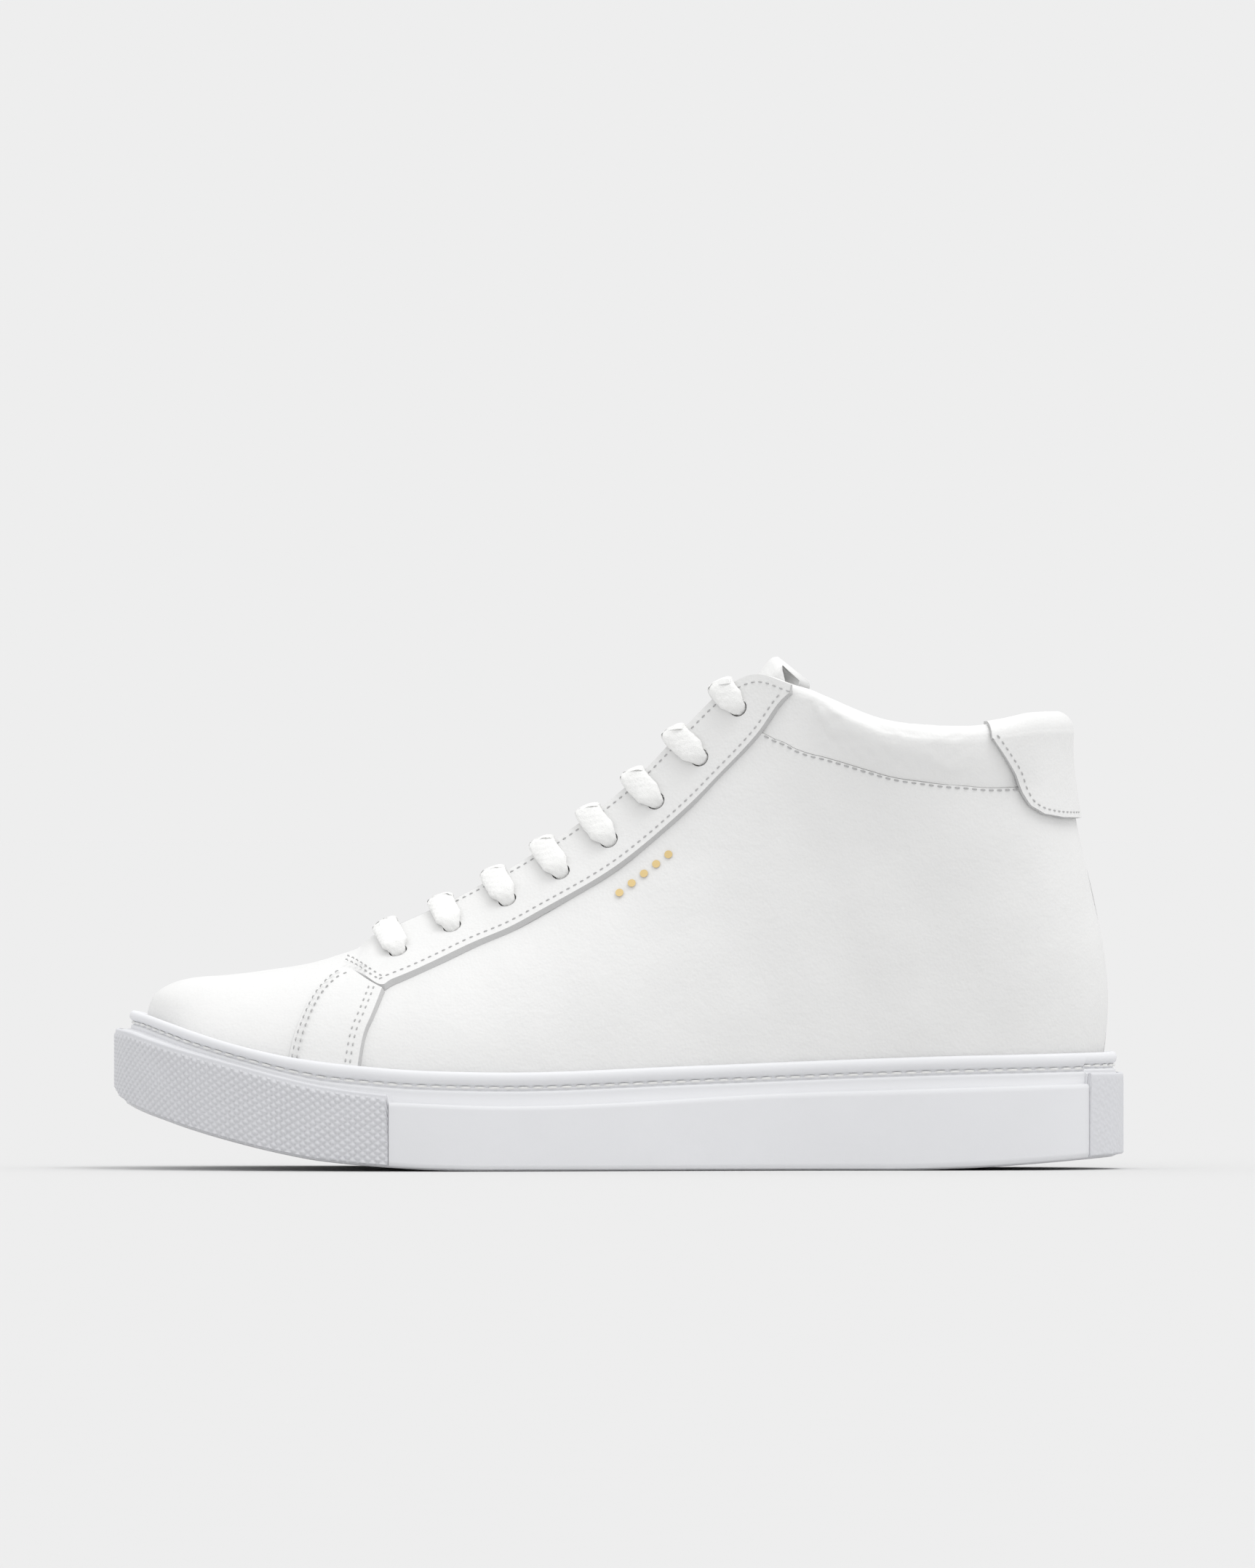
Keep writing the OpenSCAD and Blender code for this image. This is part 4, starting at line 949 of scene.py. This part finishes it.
# Profile of the cup from the inner wall over the rolled lip to the foot of the wall:
# distance from the lip's line inwards, drop below the lip
ROLL = [(2.3, 12.0), (2.3, 1.3), (1.9, 0.55), (1.3, 0.12), (0.75, 0.0), (0.2, 0.25), (-0.2, 0.8),
        (-0.42, 1.6), (-0.42, 2.4), (-0.2, 3.2), (0.2, 3.75), (0.75, 4.0), (0.95, 4.2),
        (0.95, 4.5), (0.55, 4.75), (0.5, 5.0), (0.85, 5.2), (0.8, 5.5), (0.15, 5.75), (0.0, 6.1),
        (0.0, 6.6)]


# Height that stays free between the profile's foot and the strip below it
PROFILE_FOOT = 0.4


def squeezed(lip_z, band_z):
    """Share of the profile's height that fits between the lip and the strip round the sole."""
    return np.minimum(1, (lip_z - band_z - PROFILE_FOOT) / ROLL[-1][1])


def cup_ring(inset, z, lean):
    p = edge_point(k_all, np.broadcast_to(inset, k_all.shape), lean)
    return np.concatenate([p, np.broadcast_to(z, k_all.shape)[:, None]], 1)


FIT = squeezed(LIP_AT, BAND_AT)
rings = [cup_ring(LIP_INSET + d, LIP_AT - drop * FIT, INNER_LEAN if d == ROLL[0][0] else TOE_LEAN)
         for d, drop in ROLL]
# The ledge behind the strip's top edge, the wall behind the strip and the tread's rounded edge
rings += [cup_ring(LIP_INSET, BAND_AT + 0.05, TOE_LEAN), cup_ring(CUP_INSET, BAND_AT - 0.35, 0),
          cup_ring(CUP_INSET, TREAD_AT + 1.2, 0), cup_ring(CUP_INSET + 0.35, TREAD_AT + 0.35, 0),
          cup_ring(CUP_INSET + 1.2, TREAD_AT, 0)]
rim = rings[-1]

# Tread: rays from the rim to a spine, cut with a rim channel and a herringbone
GROOVE = 0.9
CHANNEL_IN, BONES_IN = 7, 9
BONE_WIDE, BONE_PITCH, BONE_SLOPE = 12, 8, 6
spine = np.stack([np.clip(rim[:, 0], -92 * SX, 105 * SX), np.full(K_STEPS, 2.0), rim[:, 2]], 1)
for f in np.linspace(0, 1, step(64))[1:]:
    p = rim * (1 - f) + spine * f
    p[:, 2] = tread(p[:, 0])
    from_rim = np.linalg.norm((p - rim)[:, :2], axis=1)
    to_spine = np.linalg.norm((p - spine)[:, :2], axis=1)
    zigzag = p[:, 0] + BONE_SLOPE * np.abs((p[:, 1] / BONE_WIDE) % 2 - 1)
    wave = np.abs(zigzag % BONE_PITCH - BONE_PITCH / 2)
    channel = np.clip(1.4 - np.abs(from_rim - CHANNEL_IN), 0, 0.7) / 0.7
    bones = np.clip(1.3 - wave, 0, 0.6) / 0.6 * np.clip(from_rim - BONES_IN, 0, 1)
    p[:, 2] += GROOVE * np.maximum(channel, bones) * np.clip(to_spine, 0, 1)
    rings.append(p)
body = np.array(rings).transpose(1, 0, 2)
body = np.concatenate([body, body[:1]])
rows, cols = body.shape[:2]
cup = mesh_piece("outsole_cup", body.reshape(-1, 3), grid_quads(rows, cols), white_rubber,
                 sharp=75, merge=0.002)
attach(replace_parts(cup, "outsole_cup"), "shoe")


def arc_lengths(p):
    """Distance along a line of points, at each point."""
    return np.concatenate([[0], np.cumsum(np.linalg.norm(np.diff(p, axis=0), axis=1))])


BAND_FOOT = 0.6
BAND_ROUND = 0.45


def band_piece(name, k_from, k_to, inset, relief, paint, spacing):
    """A strip round the sole from k_from to k_to, with relief(arc, drop from top) on its face."""
    k = np.linspace(k_from, k_to, 2000)
    arc = arc_lengths(plan(k))
    arc_even = np.linspace(0, arc[-1], int(arc[-1] / spacing))
    k = np.interp(arc_even, arc, k)
    x = plan(k)[:, 0]
    top, low = band_line(x), tread(x) + BAND_FOOT
    levels = int((top - low).max() / spacing)
    f = np.linspace(0, 1, levels)[None, :]
    z = low[:, None] + (top - low)[:, None] * f
    drop = top[:, None] - z
    edge = np.clip(np.minimum(drop, z - low[:, None]) / BAND_ROUND, 0, 1)
    rounding = BAND_ROUND * (1 - np.sqrt(1 - (1 - edge) ** 2))
    depth = inset + rounding - relief(arc_even[:, None], drop)
    outer = edge_point(np.broadcast_to(k[:, None], z.shape), depth)
    inner = edge_point(np.broadcast_to(k[:, None], z.shape), np.full(z.shape, BUMPER))
    return shell(name, np.concatenate([outer, z[..., None]], -1),
                 np.concatenate([inner, z[..., None]], -1), paint)


KNURL_ALONG, KNURL_HIGH, KNURL_RISE, KNURL_TOP = 3.0, 2.3, 0.5, 1.1
PEBBLE_RISE = 0.14


def knurl(arc, drop):
    """Staggered pyramids, clear of the plain rim along the top."""
    u, v = arc / KNURL_ALONG, (drop - KNURL_TOP) / KNURL_HIGH
    a, b = np.abs((u + v) % 1 - 0.5) * 2, np.abs((u - v) % 1 - 0.5) * 2
    height = np.minimum(np.minimum(a, b) * 1.9, 1)
    fade = np.clip((drop - KNURL_TOP) / 0.5, 0, 1)
    return KNURL_RISE * height * fade


def pebble(arc, drop):
    """Small uneven bumps, clear of the plain rim along the top."""
    cells = (np.sin(arc * 2.9 + 1.3 * np.sin(drop * 1.7))
             * np.sin(drop * 3.1 + 1.1 * np.sin(arc * 1.9)))
    return PEBBLE_RISE * np.clip(cells + 0.4, 0, 1) * np.clip((drop - 0.9) / 0.4, 0, 1)


def plain(arc, drop):
    return np.zeros(np.broadcast_shapes(arc.shape, drop.shape))


def crossing_k(length, k_low, k_high):
    """Place on the outline, between two others, where it passes a length."""
    k = np.linspace(k_low, k_high, 4000)
    return k[np.abs(plan(k)[:, 0] - length * SX).argmin()]


toe_from, toe_to = crossing_k(TOE_END, 5.5, 8), crossing_k(TOE_END, 12.5, 15)
heel_from, heel_to = crossing_k(HEEL_START, 18, 19.9), crossing_k(HEEL_START, 0.1, 2) + 20
toe_bumper = band_piece("toe_bumper", toe_from, toe_to, 0.45, knurl, knurled_rubber_painted_shade,
                        step(0.38))
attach(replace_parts(toe_bumper, "toe_bumper"), "shoe")
heel_bumper = band_piece("heel_bumper", heel_from, heel_to, 0.1, pebble, knurled_rubber_painted_shade,
                         step(0.4))
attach(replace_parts(heel_bumper, "heel_bumper"), "shoe")
BAND_GAP = 0.003
for word, k_from, k_to in (("lateral", heel_to - 20, toe_from), ("medial", toe_to, heel_from)):
    band = band_piece("foxing_" + word, k_from + BAND_GAP, k_to - BAND_GAP, BAND_STEP, plain,
                      white_rubber, step(0.8))
    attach(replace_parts(band, "foxing_" + word), "shoe")

# ------------------------------------------------------------------ stitches


# A stitch along its half length: (place, share of the full radius)
CAPSULE = [(-1.0, 0.0), (-0.86, 0.75), (-0.45, 1.0), (0.0, 1.0), (0.45, 1.0), (0.86, 0.75),
           (1.0, 0.0)]


def stitch_line(points, normals, length, pitch, radius, arch):
    """Capsules laid end to end along a line: points and faces."""
    arc = arc_lengths(points)
    made, faces = [], []
    sides = 6
    turn = np.linspace(0, 2 * math.pi, sides, endpoint=False)

    def on_line(values, here):
        return np.array([np.interp(here, arc, values[:, c]) for c in range(3)])

    at = length / 2
    while at + length / 2 < arc[-1]:
        rings = []
        for along_it, swell in CAPSULE:
            here = at + along_it * length / 2
            p, n = on_line(points, here), unit(on_line(normals, here))
            d = on_line(points, here + 0.1) - p
            if np.linalg.norm(d) < 1e-6:
                d = p - on_line(points, here - 0.1)
            w = unit(np.cross(unit(d), n))
            p = p + n * arch * (1 - along_it ** 2) - n * 0.25 * along_it ** 4
            r = max(radius * swell, 0.02)
            rings.append(p + r * (np.cos(turn)[:, None] * n + np.sin(turn)[:, None] * w))
        base = len(made) * len(CAPSULE) * sides
        last = base + (len(CAPSULE) - 1) * sides
        made.append(np.concatenate(rings))
        faces += grid_quads(len(CAPSULE), sides, base, loop=True)
        faces += [list(range(base, base + sides)), list(range(last, last + sides))]
        at += pitch
    return (np.concatenate(made) if made else np.zeros((0, 3))), faces


def stitches(name, lines, paint, replaced=()):
    """One object of several stitch lines."""
    points, faces, count = [], [], 0
    for made, made_faces in lines:
        faces += [[i + count for i in f] for f in made_faces]
        points.append(made)
        count += len(made)
    piece = mesh_piece(name, np.concatenate(points), faces, paint)
    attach(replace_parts(piece, *replaced) if replaced else piece, "shoe")


def row_on(side, places, height, **sizes):
    """A stitch line through [rib, height] places."""
    v = np.linspace(0, len(places) - 1, 400)
    q = along(places, v)
    s, t = np.clip(q[:, 0], 0, HEEL - 0.012), np.clip(q[:, 1], 0.003, 0.999)
    return stitch_line(raised(side, s, t, height), skin_normal(side, s, t), **sizes)


FINE = {"length": 1.4, "pitch": 2.3, "radius": 0.22, "arch": 0.14}
DOUBLE = {"length": 1.3, "pitch": 2.6, "radius": 0.22, "arch": 0.14}
SEAM_ROW = {"length": 1.7, "pitch": 2.6, "radius": 0.3, "arch": 0.1}
# How far each row runs from its edge, as a distance, or for the throat a share of the rib
LOW_ROW, THROAT_ROW, TAB_ROW = 1.5, 0.022, 1.6
FRONT_ROWS, REAR_ROWS, TIP_ROWS = (1.2, 2.6), (2.3, 3.7), (1.1, 2.3)
for side, word in SIDES.items():
    single = [shifted(STAY_LOW[2:], LOW_ROW), STAY_HIGH[4:] - (0, THROAT_ROW)]
    double = [shifted(FRONT, -inset) for inset in FRONT_ROWS]
    double += [shifted(REAR, inset) for inset in REAR_ROWS]
    double += [shifted(STAY_LOW[:3], inset) for inset in TIP_ROWS]
    lines = [row_on(side, places, OVERLAY_OUT, **FINE) for places in single]
    lines += [row_on(side, places, OVERLAY_OUT, **DOUBLE) for places in double]
    stitches("upper_stitches_" + word, lines, thread_painted_shade)
    seam_s = np.linspace(COLLAR_START, TAB_EDGE[3, 0], 60)
    seam_t = seam_height(QUARTER_EDGE, seam_s) - 0.006
    stitches("collar_stitches_" + word,
             [row_on(side, np.stack([seam_s, seam_t], -1), 0.05, **SEAM_ROW)], thread_painted_shade)

tab_lines = []
for side in SIDES:
    edge = shifted(TAB_EDGE, TAB_ROW)
    edge = edge[edge[:, 0] > TAB_EDGE[0, 0]]
    fine = along(edge, np.linspace(0, len(edge) - 1, 200))
    s, t = np.clip(fine[:, 0], 0, HEEL - 0.012), fine[:, 1]
    seam, shoulder = band_places(s)
    proud = crown_at(s)[0] * np.sin(np.clip((t - seam) / (shoulder - seam), 0, 1) * math.pi / 2)
    tab_lines.append(stitch_line(raised(side, s, t, proud + OVERLAY_OUT + TAB_CLEAR),
                                 skin_normal(side, s, t), **FINE))
stitches("heel_tab_stitches", tab_lines, thread_painted_shade)

# The thread in the groove below the lip, all round the sole
GROOVE_IN = 0.72
k_line = np.linspace(0, 20, 1600)
x_line = plan(k_line)[:, 0]
wall = edge_point(k_line, np.full(k_line.shape, LIP_INSET + GROOVE_IN), TOE_LEAN)
stitch_z = lip_line(x_line) - STITCH_DROP * squeezed(lip_line(x_line), band_line(x_line))
path = np.concatenate([wall, stitch_z[:, None]], 1)
outward = unit(edge_point(k_line, np.full(k_line.shape, LIP_INSET - 1))
               - edge_point(k_line, np.full(k_line.shape, LIP_INSET)))
outward = np.concatenate([outward, np.zeros((len(outward), 1))], 1)
stitches("sidewall_stitching",
         [stitch_line(path, outward, length=3.4, pitch=4.3, radius=0.42, arch=0.25)],
         thread_white, replaced=("sidewall_stitching",))

# ------------------------------------------------------------------ lacing


def crossing_rib(i):
    """Rib where the bar of an eyelet crosses the throat edge."""
    x, z = EYELETS[i][0] * SX, float(lift(np.float64(EYELETS[i][1])))
    s = np.arange(4.2, 9.4, 0.01)
    p = rib(LATERAL, s)[3]
    return s[np.hypot(p[:, 0] - x, p[:, 2] - z).argmin()]


def at(side, s, t, off):
    return raised(side, np.array([s]), np.array([t]), off)[0]


def normal_at(side, s, t):
    return skin_normal(side, np.array([s]), np.array([t]))[0]


def climb(side, i):
    """From the eyelet up through the hole, along the leather and over the throat's corner:
    (point, up, flatness) triples."""
    s, t = HOLES[i]
    rim = crossing_rib(i)
    hole = at(side, s, t, 0)
    n, out = normal_at(side, s, t), normal_at(side, rim, 1.0)
    b = rib(side, np.array([rim]))
    lean = out + unit(bezier_slope(b, np.array([1.0])))[0]
    above = unit(np.array([lean[0], 0, lean[2]]))
    corner = at(side, rim, 1.0, OVERLAY_OUT)
    reach = LACE_RISE - OVERLAY_OUT
    d = at(side, rim, 1.0, LACE_RISE) - hole - LACE_RISE * n
    share = BEND / np.linalg.norm(d)
    d_unit = unit(d)
    steps = [(hole - (STIFF_IN + GAP) * n, -d_unit, 0.0),
             (hole + (LACE_RISE - BEND) * n, -d_unit, 0.0),
             (hole + (LACE_RISE - 0.3 * BEND) * n + 0.3 * BEND * d_unit, n - d_unit, 0.35)]
    for f in (0, 1 / 3, 2 / 3):
        g = mix(share, 1, f)
        place = (mix(s, rim, g), mix(t, 1.0, g))
        steps.append((at(side, *place, LACE_RISE), normal_at(side, *place), 1.0))
    steps.append((corner + reach * unit(out + above), unit(out + above), 1.0))
    steps.append((corner + reach * above, above, 1.0))
    return steps


def run_step(side, i, f):
    """A step of the hidden run between two eyelets."""
    s, t = HOLES[i] * (1 - f) + HOLES[i + 1] * f
    return at(side, s, t, -LACE_RUN), normal_at(side, s, t), 0.0


# Each step of the route is (point, up, flatness); the ends are tucked in on the outer side
route = [run_step(LATERAL, 0, 0.48), run_step(LATERAL, 0, 0.16)]
for i in range(len(EYELETS)):
    start = LATERAL if i % 2 == 0 else MEDIAL
    a, b = climb(start, i), climb(-start, i)
    pa, pb, above = a[-1][0], b[-1][0], a[-1][1]
    middle = (pa + pb) / 2
    route += a
    route += [(mix(pa, middle, 0.5), above, 1.0), (middle, above, 1.0),
              (mix(pb, middle, 0.5), above, 1.0)]
    route += b[::-1]
    if i < len(EYELETS) - 1:
        route += [run_step(-start, i, f) for f in (0.16, 0.5, 0.84)]
route += [run_step(LATERAL, len(EYELETS) - 2, 0.84), run_step(LATERAL, len(EYELETS) - 2, 0.52)]

knots = np.array([r[0] for r in route])
ups = np.array([unit(np.array(r[1])) for r in route])
flats = np.array([r[2] for r in route])[:, None]
v = np.linspace(0, len(knots) - 1, 9000)
dense = along(knots, v)
arc = arc_lengths(dense)
even = np.arange(0, arc[-1], step(0.3))
v = np.interp(even, arc, v)
centre = along(knots, v)
up = np.stack([np.interp(v, np.arange(len(ups)), ups[:, c]) for c in range(3)], -1)
flat = np.interp(v, np.arange(len(flats)), flats[:, 0])
heading = unit(np.gradient(centre, axis=0))
up = unit(up - (up * heading).sum(1, keepdims=True) * heading)
wide = np.cross(heading, up)
half_w = mix(LACE_D / 2, LACE_WIDTH / 2, flat)
half_h = mix(LACE_D / 2, LACE_THICK / 2, flat)
around = np.linspace(0, 2 * math.pi, step(44), endpoint=False)
BRAID_PITCH, BRAID_STRANDS, BRAID_RISE = 2.5, 8, 0.22
FUZZ, FUZZ_LENGTH = 0.06, 2.2
phase = even[:, None] / BRAID_PITCH
spin = around[None, :] / (2 * math.pi) * BRAID_STRANDS
weave = np.maximum(np.abs(np.sin(math.pi * (phase + spin))),
                   np.abs(np.sin(math.pi * (phase - spin))))
cos_a, sin_a = np.cos(around), np.sin(around)
fuzz_at = np.stack([even[:, None] + 0 * spin, 3 * cos_a + 0 * phase, 3 * sin_a + 0 * phase], -1)
swell = BRAID_RISE * (weave - 0.6) + FUZZ * waves(fuzz_at, FUZZ_LENGTH, 9)
# The section is an ellipse with slightly squared corners
SQUARED = 0.8
shape_w = np.sign(cos_a) * np.abs(cos_a) ** SQUARED
shape_h = np.sign(sin_a) * np.abs(sin_a) ** SQUARED
tube = (centre[:, None] + ((half_w[:, None] + swell) * shape_w[None, :])[..., None] * wide[:, None]
        + ((half_h[:, None] + swell) * shape_h[None, :])[..., None] * up[:, None])
lace = loft("lace", tube, cotton)
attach(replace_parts(lace, "lace"), "shoe")

# ------------------------------------------------------------------ parts carried over as they are

CARRIED = {
    "midsole_filler": foam, "heel_pad": gel, "lasting_board": fibre, "footbed_foam": foam,
    "footbed_cover": footbed_cloth, "toe_puff": stiffening, "heel_counter": stiffening,
    "heel_grip": lining_cloth, "eyestay_backing_lateral": lining_cloth,
    "eyestay_backing_medial": lining_cloth, "lace_aglets": aglet, "foil_mark": gold,
}
for name, paint in CARRIED.items():
    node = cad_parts[name]
    node.data.materials.clear()
    node.data.materials.append(paint)

# ------------------------------------------------------------------ stage, light and camera

# The sky is pale down to the horizon and brighter overhead. The floor's shade is chosen so that
# the lit floor comes out as pale as the horizon: SKY_MEAN is what the sky gives a level surface.
PALE, ZENITH, SUN = 0.855, 1.3, 0.8
BRIGHTER_ABOVE = 0.25
SKY_MEAN = PALE + 0.566 * (ZENITH - PALE)
FLOOR_REACH = 40.0
sun_from = Vector((0.35, -0.2, 1.0)).normalized()
floor_mesh = bpy.data.meshes.new("floor")
corners = [(x * FLOOR_REACH, y * FLOOR_REACH, 0) for x, y in ((-1, -1), (1, -1), (1, 1), (-1, 1))]
floor_mesh.from_pydata(corners, [], [(0, 1, 2, 3)])
floor = bpy.data.objects.new("floor", floor_mesh)
bpy.context.scene.collection.objects.link(floor)
shade = PALE / (SKY_MEAN + SUN * sun_from.z / math.pi)
floor_paint = surface("floor_paint", (shade, shade, shade), 0.9, [], tint=0.004, specular=0.0)
floor_mesh.materials.append(floor_paint)

sun = bpy.data.lights.new("sun", "SUN")
sun.energy = SUN
sun.angle = math.radians(30)
sun_object = bpy.data.objects.new("sun", sun)
sun_object.rotation_euler = sun_from.to_track_quat("Z", "Y").to_euler()
bpy.context.scene.collection.objects.link(sun_object)

world = bpy.data.worlds.new("studio")
bpy.context.scene.world = world
world.use_nodes = True
sky = world.node_tree
back = sky.nodes["Background"]
back.inputs["Color"].default_value = (1, 1, 1, 1)
split = sky.nodes.new("ShaderNodeSeparateXYZ")
sky.links.new(sky.nodes.new("ShaderNodeTexCoord").outputs["Generated"], split.inputs["Vector"])
rise = sky.nodes.new("ShaderNodeMapRange")
rise.inputs["From Min"].default_value = BRIGHTER_ABOVE
rise.inputs["From Max"].default_value = 1.0
rise.inputs["To Min"].default_value = PALE
rise.inputs["To Max"].default_value = ZENITH
sky.links.new(split.outputs["Z"], rise.inputs["Value"])
sky.links.new(rise.outputs["Result"], back.inputs["Strength"])

# A long lens from far off, level with the middle of the picture; the picture's height takes in
# VIEW_HEIGHT at the shoe
CAMERA_DISTANCE = 7.0
SENSOR = 36
VIEW_HEIGHT = 0.4659
camera_data = bpy.data.cameras.new("camera")
camera_data.sensor_width = SENSOR
camera_data.lens = SENSOR * CAMERA_DISTANCE / VIEW_HEIGHT
camera_data.dof.use_dof = False
camera = bpy.data.objects.new("camera", camera_data)
camera.location = (0.0027, -CAMERA_DISTANCE, 0.1143)
camera.rotation_euler = (math.pi / 2, 0, 0)
bpy.context.scene.collection.objects.link(camera)
bpy.context.scene.camera = camera
bpy.context.scene.view_settings.view_transform = "Standard"
